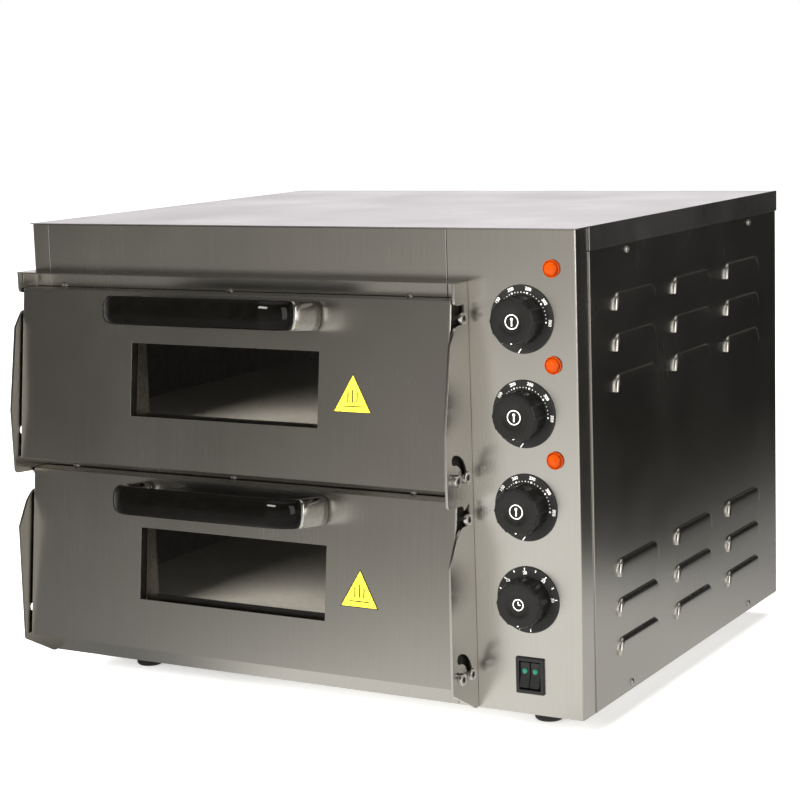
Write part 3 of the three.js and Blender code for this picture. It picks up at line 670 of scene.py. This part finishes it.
def sticker(deck):
    """A plain yellow triangle with a dark border and three plain bars."""
    side, rise = STICKER["side"], STICKER["rise"]
    place = on_door(deck) @ Matrix.Translation((STICKER["x"], 0, STICKER["z"]))
    body = f"{deck}_door"

    def triangle(inset):
        grow = inset * 2.2
        return [(-side / 2 + grow, inset), (side / 2 - grow, inset), (0, rise - 2.4 * inset)]

    bars = [rounded_rectangle(x - 0.7, x + 0.7, 8.5, 20 - abs(x) * 0.5, 0.6)
            for x in (-4.5, 0, 4.5)]
    bars.append(rounded_rectangle(-10, 10, 4.9, 6.0, 0.5))
    layers = (("border", STICKER_BLACK, 0.12, [triangle(0)]),
              ("field", YELLOW, 0.2, [triangle(0.9)]), ("bars", STICKER_BLACK, 0.26, bars))
    for part, look, rises, outlines in layers:
        bm = bmesh.new()
        for outline in outlines:
            prism(bm, outline, -rises)
        piece(f"{deck}_sticker_{part}", bm, look, body, place, smooth=False)


# ----------------------------------------------------------------- bolts and screws


def bolt_mesh(shank, length):
    """A socket-head bolt along +X: its head starts at x = 0 and its shank runs to -length."""
    head, thick, socket = BOLT["head"], BOLT["thick"], BOLT["socket"]
    bm = bmesh.new()
    turned(bm, [(0, length), (shank - 0.4, length), (shank, length - 0.4), (shank, 0),
                (head - 0.3, 0), (head, -0.3), (head, 0.5 - thick), (head - 0.5, -thick),
                (socket + 0.9, -thick), (socket + 0.5, 0.2 - thick)], 36)
    rim = [vert for vert in bm.verts if len(vert.link_faces) == 2]
    hexagon = []
    for turn in (2 * math.pi * i / 36 for i in range(36)):
        reach = socket * math.cos(math.pi / 6) / math.cos(turn % (math.pi / 3) - math.pi / 6)
        hexagon.append(bm.verts.new((reach * math.sin(turn), 0.2 - thick,
                                     -reach * math.cos(turn))))
    floor = [bm.verts.new(vert.co + Vector((0, 2.2, 0))) for vert in hexagon]
    recess = [bm.faces.new(floor)]
    for i in range(36):
        j = (i + 1) % 36
        bm.faces.new((rim[i], rim[j], hexagon[j], hexagon[i]))
        recess.append(bm.faces.new((hexagon[i], hexagon[j], floor[j], floor[i])))
    for face in recess:
        face.material_index = 1
    bm.transform(Matrix.Rotation(math.pi / 2, 4, "Z"))
    return bm


def bolt(name, side, y, z, shank, length, body, nodes=()):
    """A bolt through a hinge plate; side is 1 on the right and -1 on the left."""
    plate = "right_hinge_plate" if side > 0 else "left_hinge_plate"
    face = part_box(plate)[1 if side > 0 else 0].x + side * 0.3 * MM
    turn = Matrix.Identity(4) if side > 0 else Matrix.Rotation(math.pi, 4, "Z")
    made = piece(name, bolt_mesh(shank, length), CHROME, body,
                 at(Vector((face, y, z))) @ turn, nodes)
    made.data.materials.append(SOCKET)


def latch_stud(deck, y, z):
    """The left latch bolt has no head: its stud ends in the hook of the hinge plate."""
    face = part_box("left_hinge_plate")[0].x
    radius = LATCH["shank"]
    bm = bmesh.new()
    turned(bm, [(0, -0.4), (radius - 0.4, -0.4), (radius, -0.8), (radius, -6), (0, -6)], 32)
    bm.transform(Matrix.Rotation(math.pi / 2, 4, "Z"))
    piece(f"{deck}_latch_left", bm, CHROME, f"{deck}_door",
          at(Vector((face, y, z))))


def hinge_bolts(deck):
    pivot = middle(f"{deck}_pivot_bolt_right")
    pin = middle(f"{deck}_guide_pin_right")
    door = f"{deck}_door"
    for side, word in ((1, "right"), (-1, "left")):
        bolt(f"{deck}_pivot_{word}", side, pivot.y, pivot.z, 4, 16, "cabinet",
             (f"{deck}_pivot_bolt_{word}",))
        bolt(f"{deck}_pin_{word}", side, pin.y, pin.z, 3.4, 12, door,
             (f"{deck}_guide_pin_{word}",))
    latch = (pivot.y + LATCH["y"] * MM, pivot.z + LATCH["z"] * MM)
    bolt(f"{deck}_latch_right", 1, *latch, LATCH["shank"], 6, door)
    latch_stud(deck, *latch)


def cross(angle, radius, y):
    """Narrows a screw's recess to a cross."""
    if radius > 1.5:
        return radius
    arm = abs((angle + math.pi / 4) % (math.pi / 2) - math.pi / 4)
    return min(radius, 0.42 / max(math.sin(arm), 0.01))


def screw(name, point, axis):
    """A pan-head screw; its head stands out from the point along the axis."""
    radius = SCREW_RADIUS
    rise = radius * 0.55
    dome = [(radius * math.cos(a), -0.15 * radius - (rise - 0.15 * radius) * math.sin(a))
            for a in (math.radians(turn) for turn in (0, 20, 40, 58))]
    bm = bmesh.new()
    turned(bm, [(radius, 0.2), *dome, (1.5, -rise), (1.3, -rise), (0.9, -rise + 0.9),
                (0, -rise + 1.2)], 32, cross)
    turn = Vector((0, -1, 0)).rotation_difference(Vector(axis)).to_matrix().to_4x4()
    piece(name, bm, ZINC, "cabinet", at(point) @ turn)


def screws():
    for number, (x, z) in enumerate(FRONT_SCREWS):
        screw(f"front_screw_{number}", body_point(x, 0, z), (0, -1, 0))
    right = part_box("right_side_panel")[1].x - PRESSED * MM
    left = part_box("left_side_panel")[0].x
    for number, (y, z) in enumerate(SIDE_SCREWS):
        spot = body_point(0, y, z)
        screw(f"right_screw_{number}", Vector((right, spot.y, spot.z)), (1, 0, 0))
        screw(f"left_screw_{number}", Vector((left, spot.y, spot.z)), (-1, 0, 0))
    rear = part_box("rear_panel")[1].y
    for number, (x, z) in enumerate(REAR_SCREWS):
        spot = body_point(x, 0, z)
        screw(f"rear_screw_{number}", Vector((spot.x, rear, spot.z)), (0, 1, 0))


# ------------------------------------------------------------------------- controls


def figures(bm, number, place):
    """Adds a number in flat figures, with its middle on the origin of place, facing -y."""
    curve = bpy.data.curves.new("figures", "FONT")
    curve.body = str(number)
    curve.size = FIGURES
    curve.align_x = "CENTER"
    curve.align_y = "CENTER"
    curve.extrude = 0.06
    curve.offset = 0.07
    holder = bpy.data.objects.new("figures", curve)
    mesh = bpy.data.meshes.new_from_object(holder)
    mesh.transform(place @ Matrix.Rotation(math.pi / 2, 4, "X"))
    bm.from_mesh(mesh)
    bpy.data.meshes.remove(mesh)
    bpy.data.objects.remove(holder)
    bpy.data.curves.remove(curve)


def on_ring(radius, degrees):
    """A place on a dial, degrees clockwise from six o'clock, with z pointing outwards."""
    turn = math.radians(degrees)
    out = Matrix.Rotation(turn + math.pi, 4, "Y")
    return Matrix.Translation((-radius * math.sin(turn), 0, -radius * math.cos(turn))) @ out


def stamped(bm, outline, place):
    """Adds a thin printed mark."""
    start = len(bm.verts)
    prism(bm, outline, -0.08)
    bm.verts.ensure_lookup_table()
    bmesh.ops.transform(bm, matrix=place, verts=bm.verts[start:])


def bar(bm, place, width, length):
    """Adds a short printed bar, lying along place's z."""
    x, z = width / 2, length / 2
    stamped(bm, rounded_rectangle(-x, x, -z, z, width * 0.3, 3), place)


def dot(bm, place, radius):
    stamped(bm, disc(radius), place)


def thermostat_print(bm):
    big = {50: 44.0, 100: 84.5, 150: 125.0, 200: 159.0, 250: 195.0, 300: 234.6, 350: 275.0}
    for degrees_c, turn in big.items():
        dot(bm, on_ring(22.5, turn), 0.85)
        figures(bm, degrees_c, on_ring(26.0, turn))
    turns = list(big.values())
    for start, end in zip(turns, turns[1:]):
        for i in range(1, 5):
            dot(bm, on_ring(22.5, start + (end - start) * i / 5), 0.42)
    bar(bm, on_ring(26.3, 4.5) @ Matrix.Rotation(math.radians(33), 4, "Y"), 0.75, 4.2)


def timer_print(bm):
    for step in range(1, 13):
        minutes = 2.5 * step
        turn = minutes * 9 - 5
        bar(bm, on_ring(26.4, turn), 0.9, 2.0 if step % 2 else 2.6)
        if step % 2 == 0:
            figures(bm, round(minutes), on_ring(23.2, turn))
    bar(bm, on_ring(26.2, -5), 0.7, 2.8)


def dial(name):
    node = f"{name}_dial"
    face, radius, thick = turned_box(node)
    bm = bmesh.new()
    turned(bm, [(6, 0), (radius - 0.2, 0), (radius, -0.3), (radius, 0.5 - thick),
                (radius - 0.15, 0.2 - thick), (radius - 0.6, -thick), (6, -thick), (6, 0)], 96)
    piece(f"{name}_dial_disc", bm, DIAL_BLACK, "cabinet", at(face), (node,))
    marks = bmesh.new()
    if name == "timer":
        timer_print(marks)
    else:
        thermostat_print(marks)
    face.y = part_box(node)[0].y
    piece(f"{name}_dial_print", marks, PRINT_WHITE, "cabinet", at(face),
          smooth=False)


def fluted(angle, radius, y):
    """Narrow ribs round a knob's grip, lower before its front face."""
    if radius < 17:
        return radius
    pitch = 2 * math.pi / FLUTES
    off_rib = abs((angle + pitch / 2) % pitch - pitch / 2) / math.radians(3)
    fade = 1.0 if y > -18 else 0.5
    return radius - 0.8 * fade * (1 - math.exp(-off_rib * off_rib))


def knob_icon(bm, timer):
    """The ring in the dish, with a thermometer's or a clock's plain strokes."""
    outer = 5.0 if timer else 6.2
    inner, front, back = outer - 0.8, -0.08, 0.02
    turned(bm, [(outer, front), (inner, front), (inner, back), (outer, back), (outer, front)], 40)
    if timer:
        bar(bm, Matrix.Translation((0, 0, 1.4)), 0.8, 3.2)
        bar(bm, Matrix.Translation((1.0, 0, 0)) @ Matrix.Rotation(math.pi / 2, 4, "Y"), 0.8, 2.4)
    else:
        dot(bm, Matrix.Translation((0, 0, 2.2)), 1.2)
        bar(bm, Matrix.Translation((0, 0, -1.2)), 1.2, 5.0)


def knob(name):
    node = f"{name}_knob"
    seat, radius, depth = turned_box(node)
    bm = bmesh.new()
    turned(bm, [
        (3.3, -13), (3.3, 0), (radius - 0.3, 0), (radius, -0.3), (radius, -5), (radius, -10),
        (radius, 2.6 - depth), (radius - 0.5, 1.4 - depth), (radius - 1.3, 0.5 - depth),
        (radius - 2.4, 0.1 - depth), (radius - 3.4, -depth), (15, -depth), (12.2, 0.05 - depth),
        (11, 0.3 - depth), (10.2, 0.8 - depth), (9.2, 1.25 - depth), (8, 1.5 - depth),
        (6.8, 1.6 - depth), (0, 1.6 - depth)], 240, fluted)
    piece(f"{name}_knob_grip", bm, KNOB_BLACK, node, at(seat), (node,))
    icon = bmesh.new()
    knob_icon(icon, name == "timer")
    dish = seat + Vector((0, (1.6 - depth) * MM, 0))
    piece(f"{name}_knob_icon", icon, PRINT_WHITE, node, at(dish), smooth=False)
    mark = bmesh.new()
    dot(mark, Matrix.Translation((0, 0, 3.2 - radius)), 0.75)
    rim = seat + Vector((0, (0.1 - depth) * MM, 0))
    piece(f"{name}_knob_mark", mark, PRINT_WHITE, node, at(rim), smooth=False)


def lamp(name):
    node = f"{name}_lamp"
    centre, bezel, _ = turned_box(node)
    centre.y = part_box("control_panel")[0].y
    dome = [(5.95 * math.cos(a), -1.9 - 3.4 * math.sin(a))
            for a in (math.radians(10 * turn) for turn in range(9))]
    bm = bmesh.new()
    turned(bm, [(0, 20), (5.2, 20), (5.2, -0.3), (bezel - 0.3, -0.3), (bezel, -0.6), (bezel, -1.5),
                (bezel - 0.2, -1.9), (bezel - 0.5, -2.1), (6.75, -2.1), (6.6, -1.9), (6.55, -1.0),
                (6.0, -1.0), *dome, (0, -5.3)], 64)
    piece(f"{name}_lamp_lens", bm, AMBER, "cabinet", at(centre), (node,))


def rocker(side):
    """A rocker with a hollow face and a small lens near its pressed end."""
    node = f"{side}_rocker"
    rounded_copy(f"{side}_rocker_key", node, SWITCH_BLACK, node, "rocker_plastic", (0.6, 3))
    low, high = body_box(node)
    lens = bmesh.new()
    turned(lens, [(2.4, 1.2), (2.4, 0), (2.0, -0.5), (1.2, -0.85), (0, -1.0)], 24)
    tilt = Matrix.Rotation(math.radians(-2), 4, "X")
    place = at(body_point((low.x + high.x) / 2, low.y + 3.1, low.z + 14.2)) @ tilt
    piece(f"{side}_rocker_lens", lens, GREEN, node, place)


def switch():
    rounded_copy("switch_frame", "switch_housing", SWITCH_BLACK, "cabinet", "switch_plastic",
                 (0.7, 3))


# ------------------------------------------------------------- feet, gland and inside


def foot(name):
    low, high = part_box(name)
    top = middle(name)
    top.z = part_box("base_pan")[0].z
    radius = (high.x - low.x) / MM / 2
    drop = (top.z - low.z) / MM
    bm = bmesh.new()
    turned(bm, [(0, -7), (4, -7), (4, 0.3), (radius - 0.6, 0.3), (radius, 0.9),
                (radius, drop - 7), (radius - 0.5, drop - 6), (radius - 0.5, drop - 4),
                (radius, drop - 3), (radius - 0.4, drop - 1.4), (radius - 1.6, drop - 0.3),
                (radius - 2.4, drop), (5, drop), (4.4, drop - 1), (0, drop - 1)], 48)
    bm.transform(Matrix.Rotation(-math.pi / 2, 4, "X"))
    piece(f"{name}_rubber", bm, RUBBER, "cabinet", at(top), (name,))


def gland():
    """The cable gland: a hexagon against the rear panel and a domed nut."""
    seat = middle("cable_gland")
    seat.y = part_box("rear_panel")[1].y

    def hexagon(angle, radius, y):
        if radius < 11:
            return radius
        side = math.pi / 3
        return radius * math.cos(side / 2) / math.cos(angle % side - side / 2)

    bm = bmesh.new()
    turned(bm, [(4, -12), (4, 13.5), (5.4, 13.5), (7, 12.6), (8.8, 10.6), (9.4, 6.8),
                (9.4, 6), (11.2, 6), (12, 5.4), (12, 0.8), (11.6, 0.3), (8, 0.3), (8, -12),
                (4, -12)], 60, hexagon)
    piece("rear_cable_gland", bm, BAKELITE, "cabinet", at(seat), ("cable_gland",))


def heater(node):
    """The element as a smooth tube: straight passes joined by half circles."""
    level = middle(node).z
    curve = bpy.data.curves.new(node, "CURVE")
    curve.dimensions = "3D"
    curve.bevel_depth = HEATER["radius"] * MM
    curve.bevel_resolution = 4
    curve.use_fill_caps = True
    points = []
    bend = HEATER["pitch"] / 2
    for number in range(HEATER["passes"]):
        y = HEATER["y0"] + number * HEATER["pitch"]
        leftward = number % 2 == 0
        left, right = HEATER["x0"] + bend, HEATER["x1"] - bend
        start, end = (right, left) if leftward else (left, right)
        if number == 0:
            start = HEATER["end"]
        if number == HEATER["passes"] - 1:
            end = HEATER["end"]
        points += [(start, y), (end, y)]
        if number < HEATER["passes"] - 1:
            for step in range(1, 12):
                turn = step * math.pi / 12
                out = bend * math.sin(turn) * (-1 if leftward else 1)
                points.append((end + out, y + bend - bend * math.cos(turn)))
    spline = curve.splines.new("POLY")
    spline.points.add(len(points) - 1)
    for point, (x, y) in zip(spline.points, points):
        spot = body_point(x, y, 0)
        point.co = (spot.x, spot.y, level, 1)
    spline.use_smooth = True
    curve.materials.append(SHEATH)
    made = placed(f"{node}_tube", curve)
    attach(made, "cabinet")
    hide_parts(node)


def inside():
    for deck in DECKS:
        sheet(f"{deck}_chamber_liner", "chamber_sheet", INNER_SHEET, edge=0.2)
        rounded_copy(f"{deck}_stone_slab", f"{deck}_stone_deck", STONE, "cabinet", "deck_stone",
                     (1.2, 3))
        heater(f"{deck}_top_heater")
        heater(f"{deck}_bottom_heater")
    kept = {f"{name}_thermostat": BAKELITE for name in THERMOSTATS}
    kept.update(timer_movement=BAKELITE, insulation_blanket=WOOL, heat_shield=INNER_SHEET,
                terminal_block=CERAMIC)
    for node, look in kept.items():
        for holder in frame["nodes"][node].material_slots:
            holder.material = look


# ----------------------------------------------------------------------------- studio

CAMERA = {"from_body": (1.26508, -1.52135, 0.54008), "azimuth": 29.863, "elevation": 8.970,
          "roll": -1.833, "lens": 93.585}
BLACK = (0.0, 0.0, 0.0)
WHITE = (1.0, 1.0, 1.0)


def camera():
    azimuth, elevation = math.radians(CAMERA["azimuth"]), math.radians(CAMERA["elevation"])
    back = Vector((math.sin(azimuth) * math.cos(elevation),
                   -math.cos(azimuth) * math.cos(elevation), math.sin(elevation)))
    right = Vector((0, 0, 1)).cross(back).normalized()
    up = back.cross(right)
    level = Matrix((right, up, back)).transposed().to_4x4()
    data = bpy.data.cameras.new("camera")
    data.lens = CAMERA["lens"]
    made = placed("camera", data)
    spot = BODY + Vector(CAMERA["from_body"])
    made.matrix_world = (Matrix.Translation(spot) @ level
                         @ Matrix.Rotation(math.radians(CAMERA["roll"]), 4, "Z"))
    bpy.context.scene.camera = made


def stage_face(name, corners, look):
    """A flat face of the studio, which isn't part of the object."""
    bm = bmesh.new()
    bm.faces.new([bm.verts.new(corner) for corner in corners])
    mesh = bpy.data.meshes.new(name)
    bm.to_mesh(mesh)
    bm.free()
    mesh.materials.append(look)
    made = placed(name, mesh)
    return made


def floor_square(name, half, look):
    corners = ((-half, -half, 0), (half, -half, 0), (half, half, 0), (-half, half, 0))
    return stage_face(name, corners, look)


def smooth_step(tree, value, start, end):
    return remap(tree, value, start, end, interpolation_type="SMOOTHSTEP")


def distance(tree, place):
    return add(tree, "ShaderNodeVectorMath", {0: place}, operation="LENGTH").outputs["Value"]


def times(tree, first, second):
    return add(tree, "ShaderNodeMath", {0: first, 1: second}, operation="MULTIPLY").outputs[0]


def left_of_front(tree, place):
    """0 for places and directions straight in front of the oven or to its right, rising to
    1 for those in front on its left."""
    flat = add(tree, "ShaderNodeVectorMath", {0: place, 1: (1.0, 1.0, 0.0)}, operation="MULTIPLY")
    aim = add(tree, "ShaderNodeVectorMath", {0: flat.outputs["Vector"]}, operation="NORMALIZE")
    axes = add(tree, "ShaderNodeSeparateXYZ", {"Vector": aim.outputs["Vector"]})
    return times(tree, smooth_step(tree, axes.outputs["X"], -0.2, -0.68),
                 smooth_step(tree, axes.outputs["Y"], -0.1, -0.5))


def reflector_look():
    """Light that gloss alone sees: a bright floor that dims away from the oven and on the
    left, and goes nearly black to its right behind."""
    material, tree, shader = principled("floor reflection")
    tree.nodes.remove(shader)
    place = object_place(tree)
    axes = add(tree, "ShaderNodeSeparateXYZ", {"Vector": place})
    x, y = axes.outputs["X"], axes.outputs["Y"]
    share = remap(tree, distance(tree, place), 0.0, 6.0)
    lit = ramp(tree, share, (0.2, (0.93, 0.92, 0.88)), (0.32, (0.85, 0.84, 0.79)),
               (0.5, (0.75, 0.73, 0.68)), (0.68, (0.52, 0.5, 0.46)), (0.85, (0.45, 0.43, 0.39)))
    beside = times(tree, smooth_step(tree, x, 0.2, 0.32), smooth_step(tree, y, -0.5, -0.2))
    farther = remap(tree, y, 0.15, 0.5, 0.38, 0.62)
    for amount in (times(tree, left_of_front(tree, place), 0.75), times(tree, beside, farther)):
        lit = blend(tree, amount, lit, BLACK)
    corner = times(tree, smooth_step(tree, x, 0.38, 0.58), smooth_step(tree, y, 0.2, 0.5))
    final = blend(tree, corner, lit, (0.006, 0.005, 0.004))
    glow = add(tree, "ShaderNodeEmission", {"Color": final})
    tree.links.new(glow.outputs["Emission"], tree.nodes["Material Output"].inputs["Surface"])
    return material


def gloss_only(made):
    made.visible_camera = False
    made.visible_diffuse = False
    made.visible_transmission = False
    made.visible_shadow = False


def dark_flag():
    """A black screen behind the oven on its right, which the side sheet mirrors."""
    black = speckled("black screen", (0.004, 0.004, 0.004), (0.008, 0.008, 0.008), 20.0,
                     (0.9, 1.0), Specular_IOR_Level=0.0)
    left, right, back, top = 0.36, 3.0, 1.5, 1.7
    corners = ((left, back, 0.0), (right, back, 0.0), (right, back, top), (left, back, top))
    gloss_only(stage_face("dark_flag", corners, black))


def pale_floor():
    """The floor's paint, which glows far from the oven so that it meets the white behind."""
    material = speckled("pale floor", (0.86, 0.86, 0.855), (0.9, 0.9, 0.895), 3.0, (0.8, 0.9))
    tree = material.node_tree
    shader = tree.nodes["Principled BSDF"]
    glow = remap(tree, distance(tree, object_place(tree)), 0.4, 1.8, 0.45, 1.0)
    shader.inputs["Emission Color"].default_value = (*WHITE, 1.0)
    tree.links.new(glow, shader.inputs["Emission Strength"])
    return material


def floor():
    """A plain pale floor, and the reflector that stands in for it in the polished metal."""
    floor_square("plain_floor", 9.0, pale_floor()).visible_glossy = False
    gloss_only(floor_square("floor_reflector", 6.0, reflector_look()))


def softbox(name, place, aim, size, power, mirrored=True):
    """An area light; the metal mirrors it only if mirrored."""
    data = bpy.data.lights.new(name, "AREA")
    data.shape = "RECTANGLE"
    data.size, data.size_y = size
    data.energy = power
    data.color = (1.0, 0.99, 0.97)
    made = placed(name, data)
    made.location = place
    made.rotation_euler = (Vector(aim) - Vector(place)).to_track_quat("-Z", "Y").to_euler()
    made.visible_glossy = mirrored
    return made


def toward(tree, direction, axis, start, end):
    """1 where the world direction is close to the axis and 0 where it isn't."""
    dot_product = add(tree, "ShaderNodeVectorMath", {0: direction, 1: Vector(axis).normalized()},
                      operation="DOT_PRODUCT")
    return smooth_step(tree, dot_product.outputs["Value"], start, end)


def world():
    """A dim room in front of the oven, darker on its left, white behind it and dark
    higher up, with a bright middle to its ceiling; the camera itself sees plain white."""
    made = bpy.data.worlds.new("studio")
    bpy.context.scene.world = made
    made.use_nodes = True
    tree = made.node_tree
    direction = add(tree, "ShaderNodeTexCoord").outputs["Generated"]
    height = add(tree, "ShaderNodeSeparateXYZ", {"Vector": direction}).outputs["Z"]
    room = ramp(tree, remap(tree, height, -1.0, 1.0), (0.49, (0.8, 0.775, 0.72)),
                (0.504, (0.72, 0.7, 0.65)), (0.519, (0.66, 0.64, 0.59)),
                (0.545, (0.56, 0.54, 0.5)), (0.58, (0.4, 0.385, 0.355)),
                (0.66, (0.2, 0.19, 0.17)), (0.74, (0.06, 0.055, 0.048)),
                (0.9, (0.08, 0.075, 0.066)), (0.97, (1.0, 0.99, 0.97)))
    left = left_of_front(tree, direction)
    low = smooth_step(tree, height, 0.5, 0.3)
    shade = times(tree, times(tree, left, low), 0.93)
    dimmed = blend(tree, shade, room, BLACK)
    white = toward(tree, direction, (-0.5, 0.86, 0.06), 0.88, 0.96)
    lit = blend(tree, white, dimmed, (1.14, 1.11, 1.12))
    seen = add(tree, "ShaderNodeLightPath").outputs["Is Camera Ray"]
    final = blend(tree, seen, lit, WHITE)
    tree.links.new(final, tree.nodes["Background"].inputs["Color"])


def studio():
    """The accent light picks out the black handles and spares the steel."""
    accented = bpy.data.collections.new("accented")
    for made in bpy.context.scene.objects:
        if made.name.endswith("_bow_handle"):
            accented.objects.link(made)
    floor()
    dark_flag()
    world()
    softbox("overhead", (0.0, -0.2, 2.3), (0.0, 0.0, 0.0), (2.6, 2.6), 85, mirrored=False)
    softbox("right_front", (2.1, -1.0, 0.9), (0.2, 0.0, 0.25), (0.7, 1.6), 14)
    softbox("left_front", (-0.9, -2.2, 1.05), (0.0, -0.2, 0.2), (1.6, 0.9), 130, mirrored=False)
    accent = softbox("handle_accent", (-0.3, -1.9, 1.5), (0.0, -0.25, 0.3), (1.1, 0.42), 60)
    accent.light_linking.receiver_collection = accented
    bpy.context.scene.view_settings.view_transform = "Standard"


# --------------------------------------------------------------------------- assembly

cabinet_sheets()
louvred_side()
for deck in DECKS:
    door_sheets(deck)
    bow_handle(deck)
    sticker(deck)
    hinge_bolts(deck)
screws()
for name in CONTROLS:
    dial(name)
    knob(name)
for name in THERMOSTATS:
    lamp(name)
switch()
rocker("left")
rocker("right")
for name in FEET:
    foot(name)
gland()
inside()
camera()
studio()
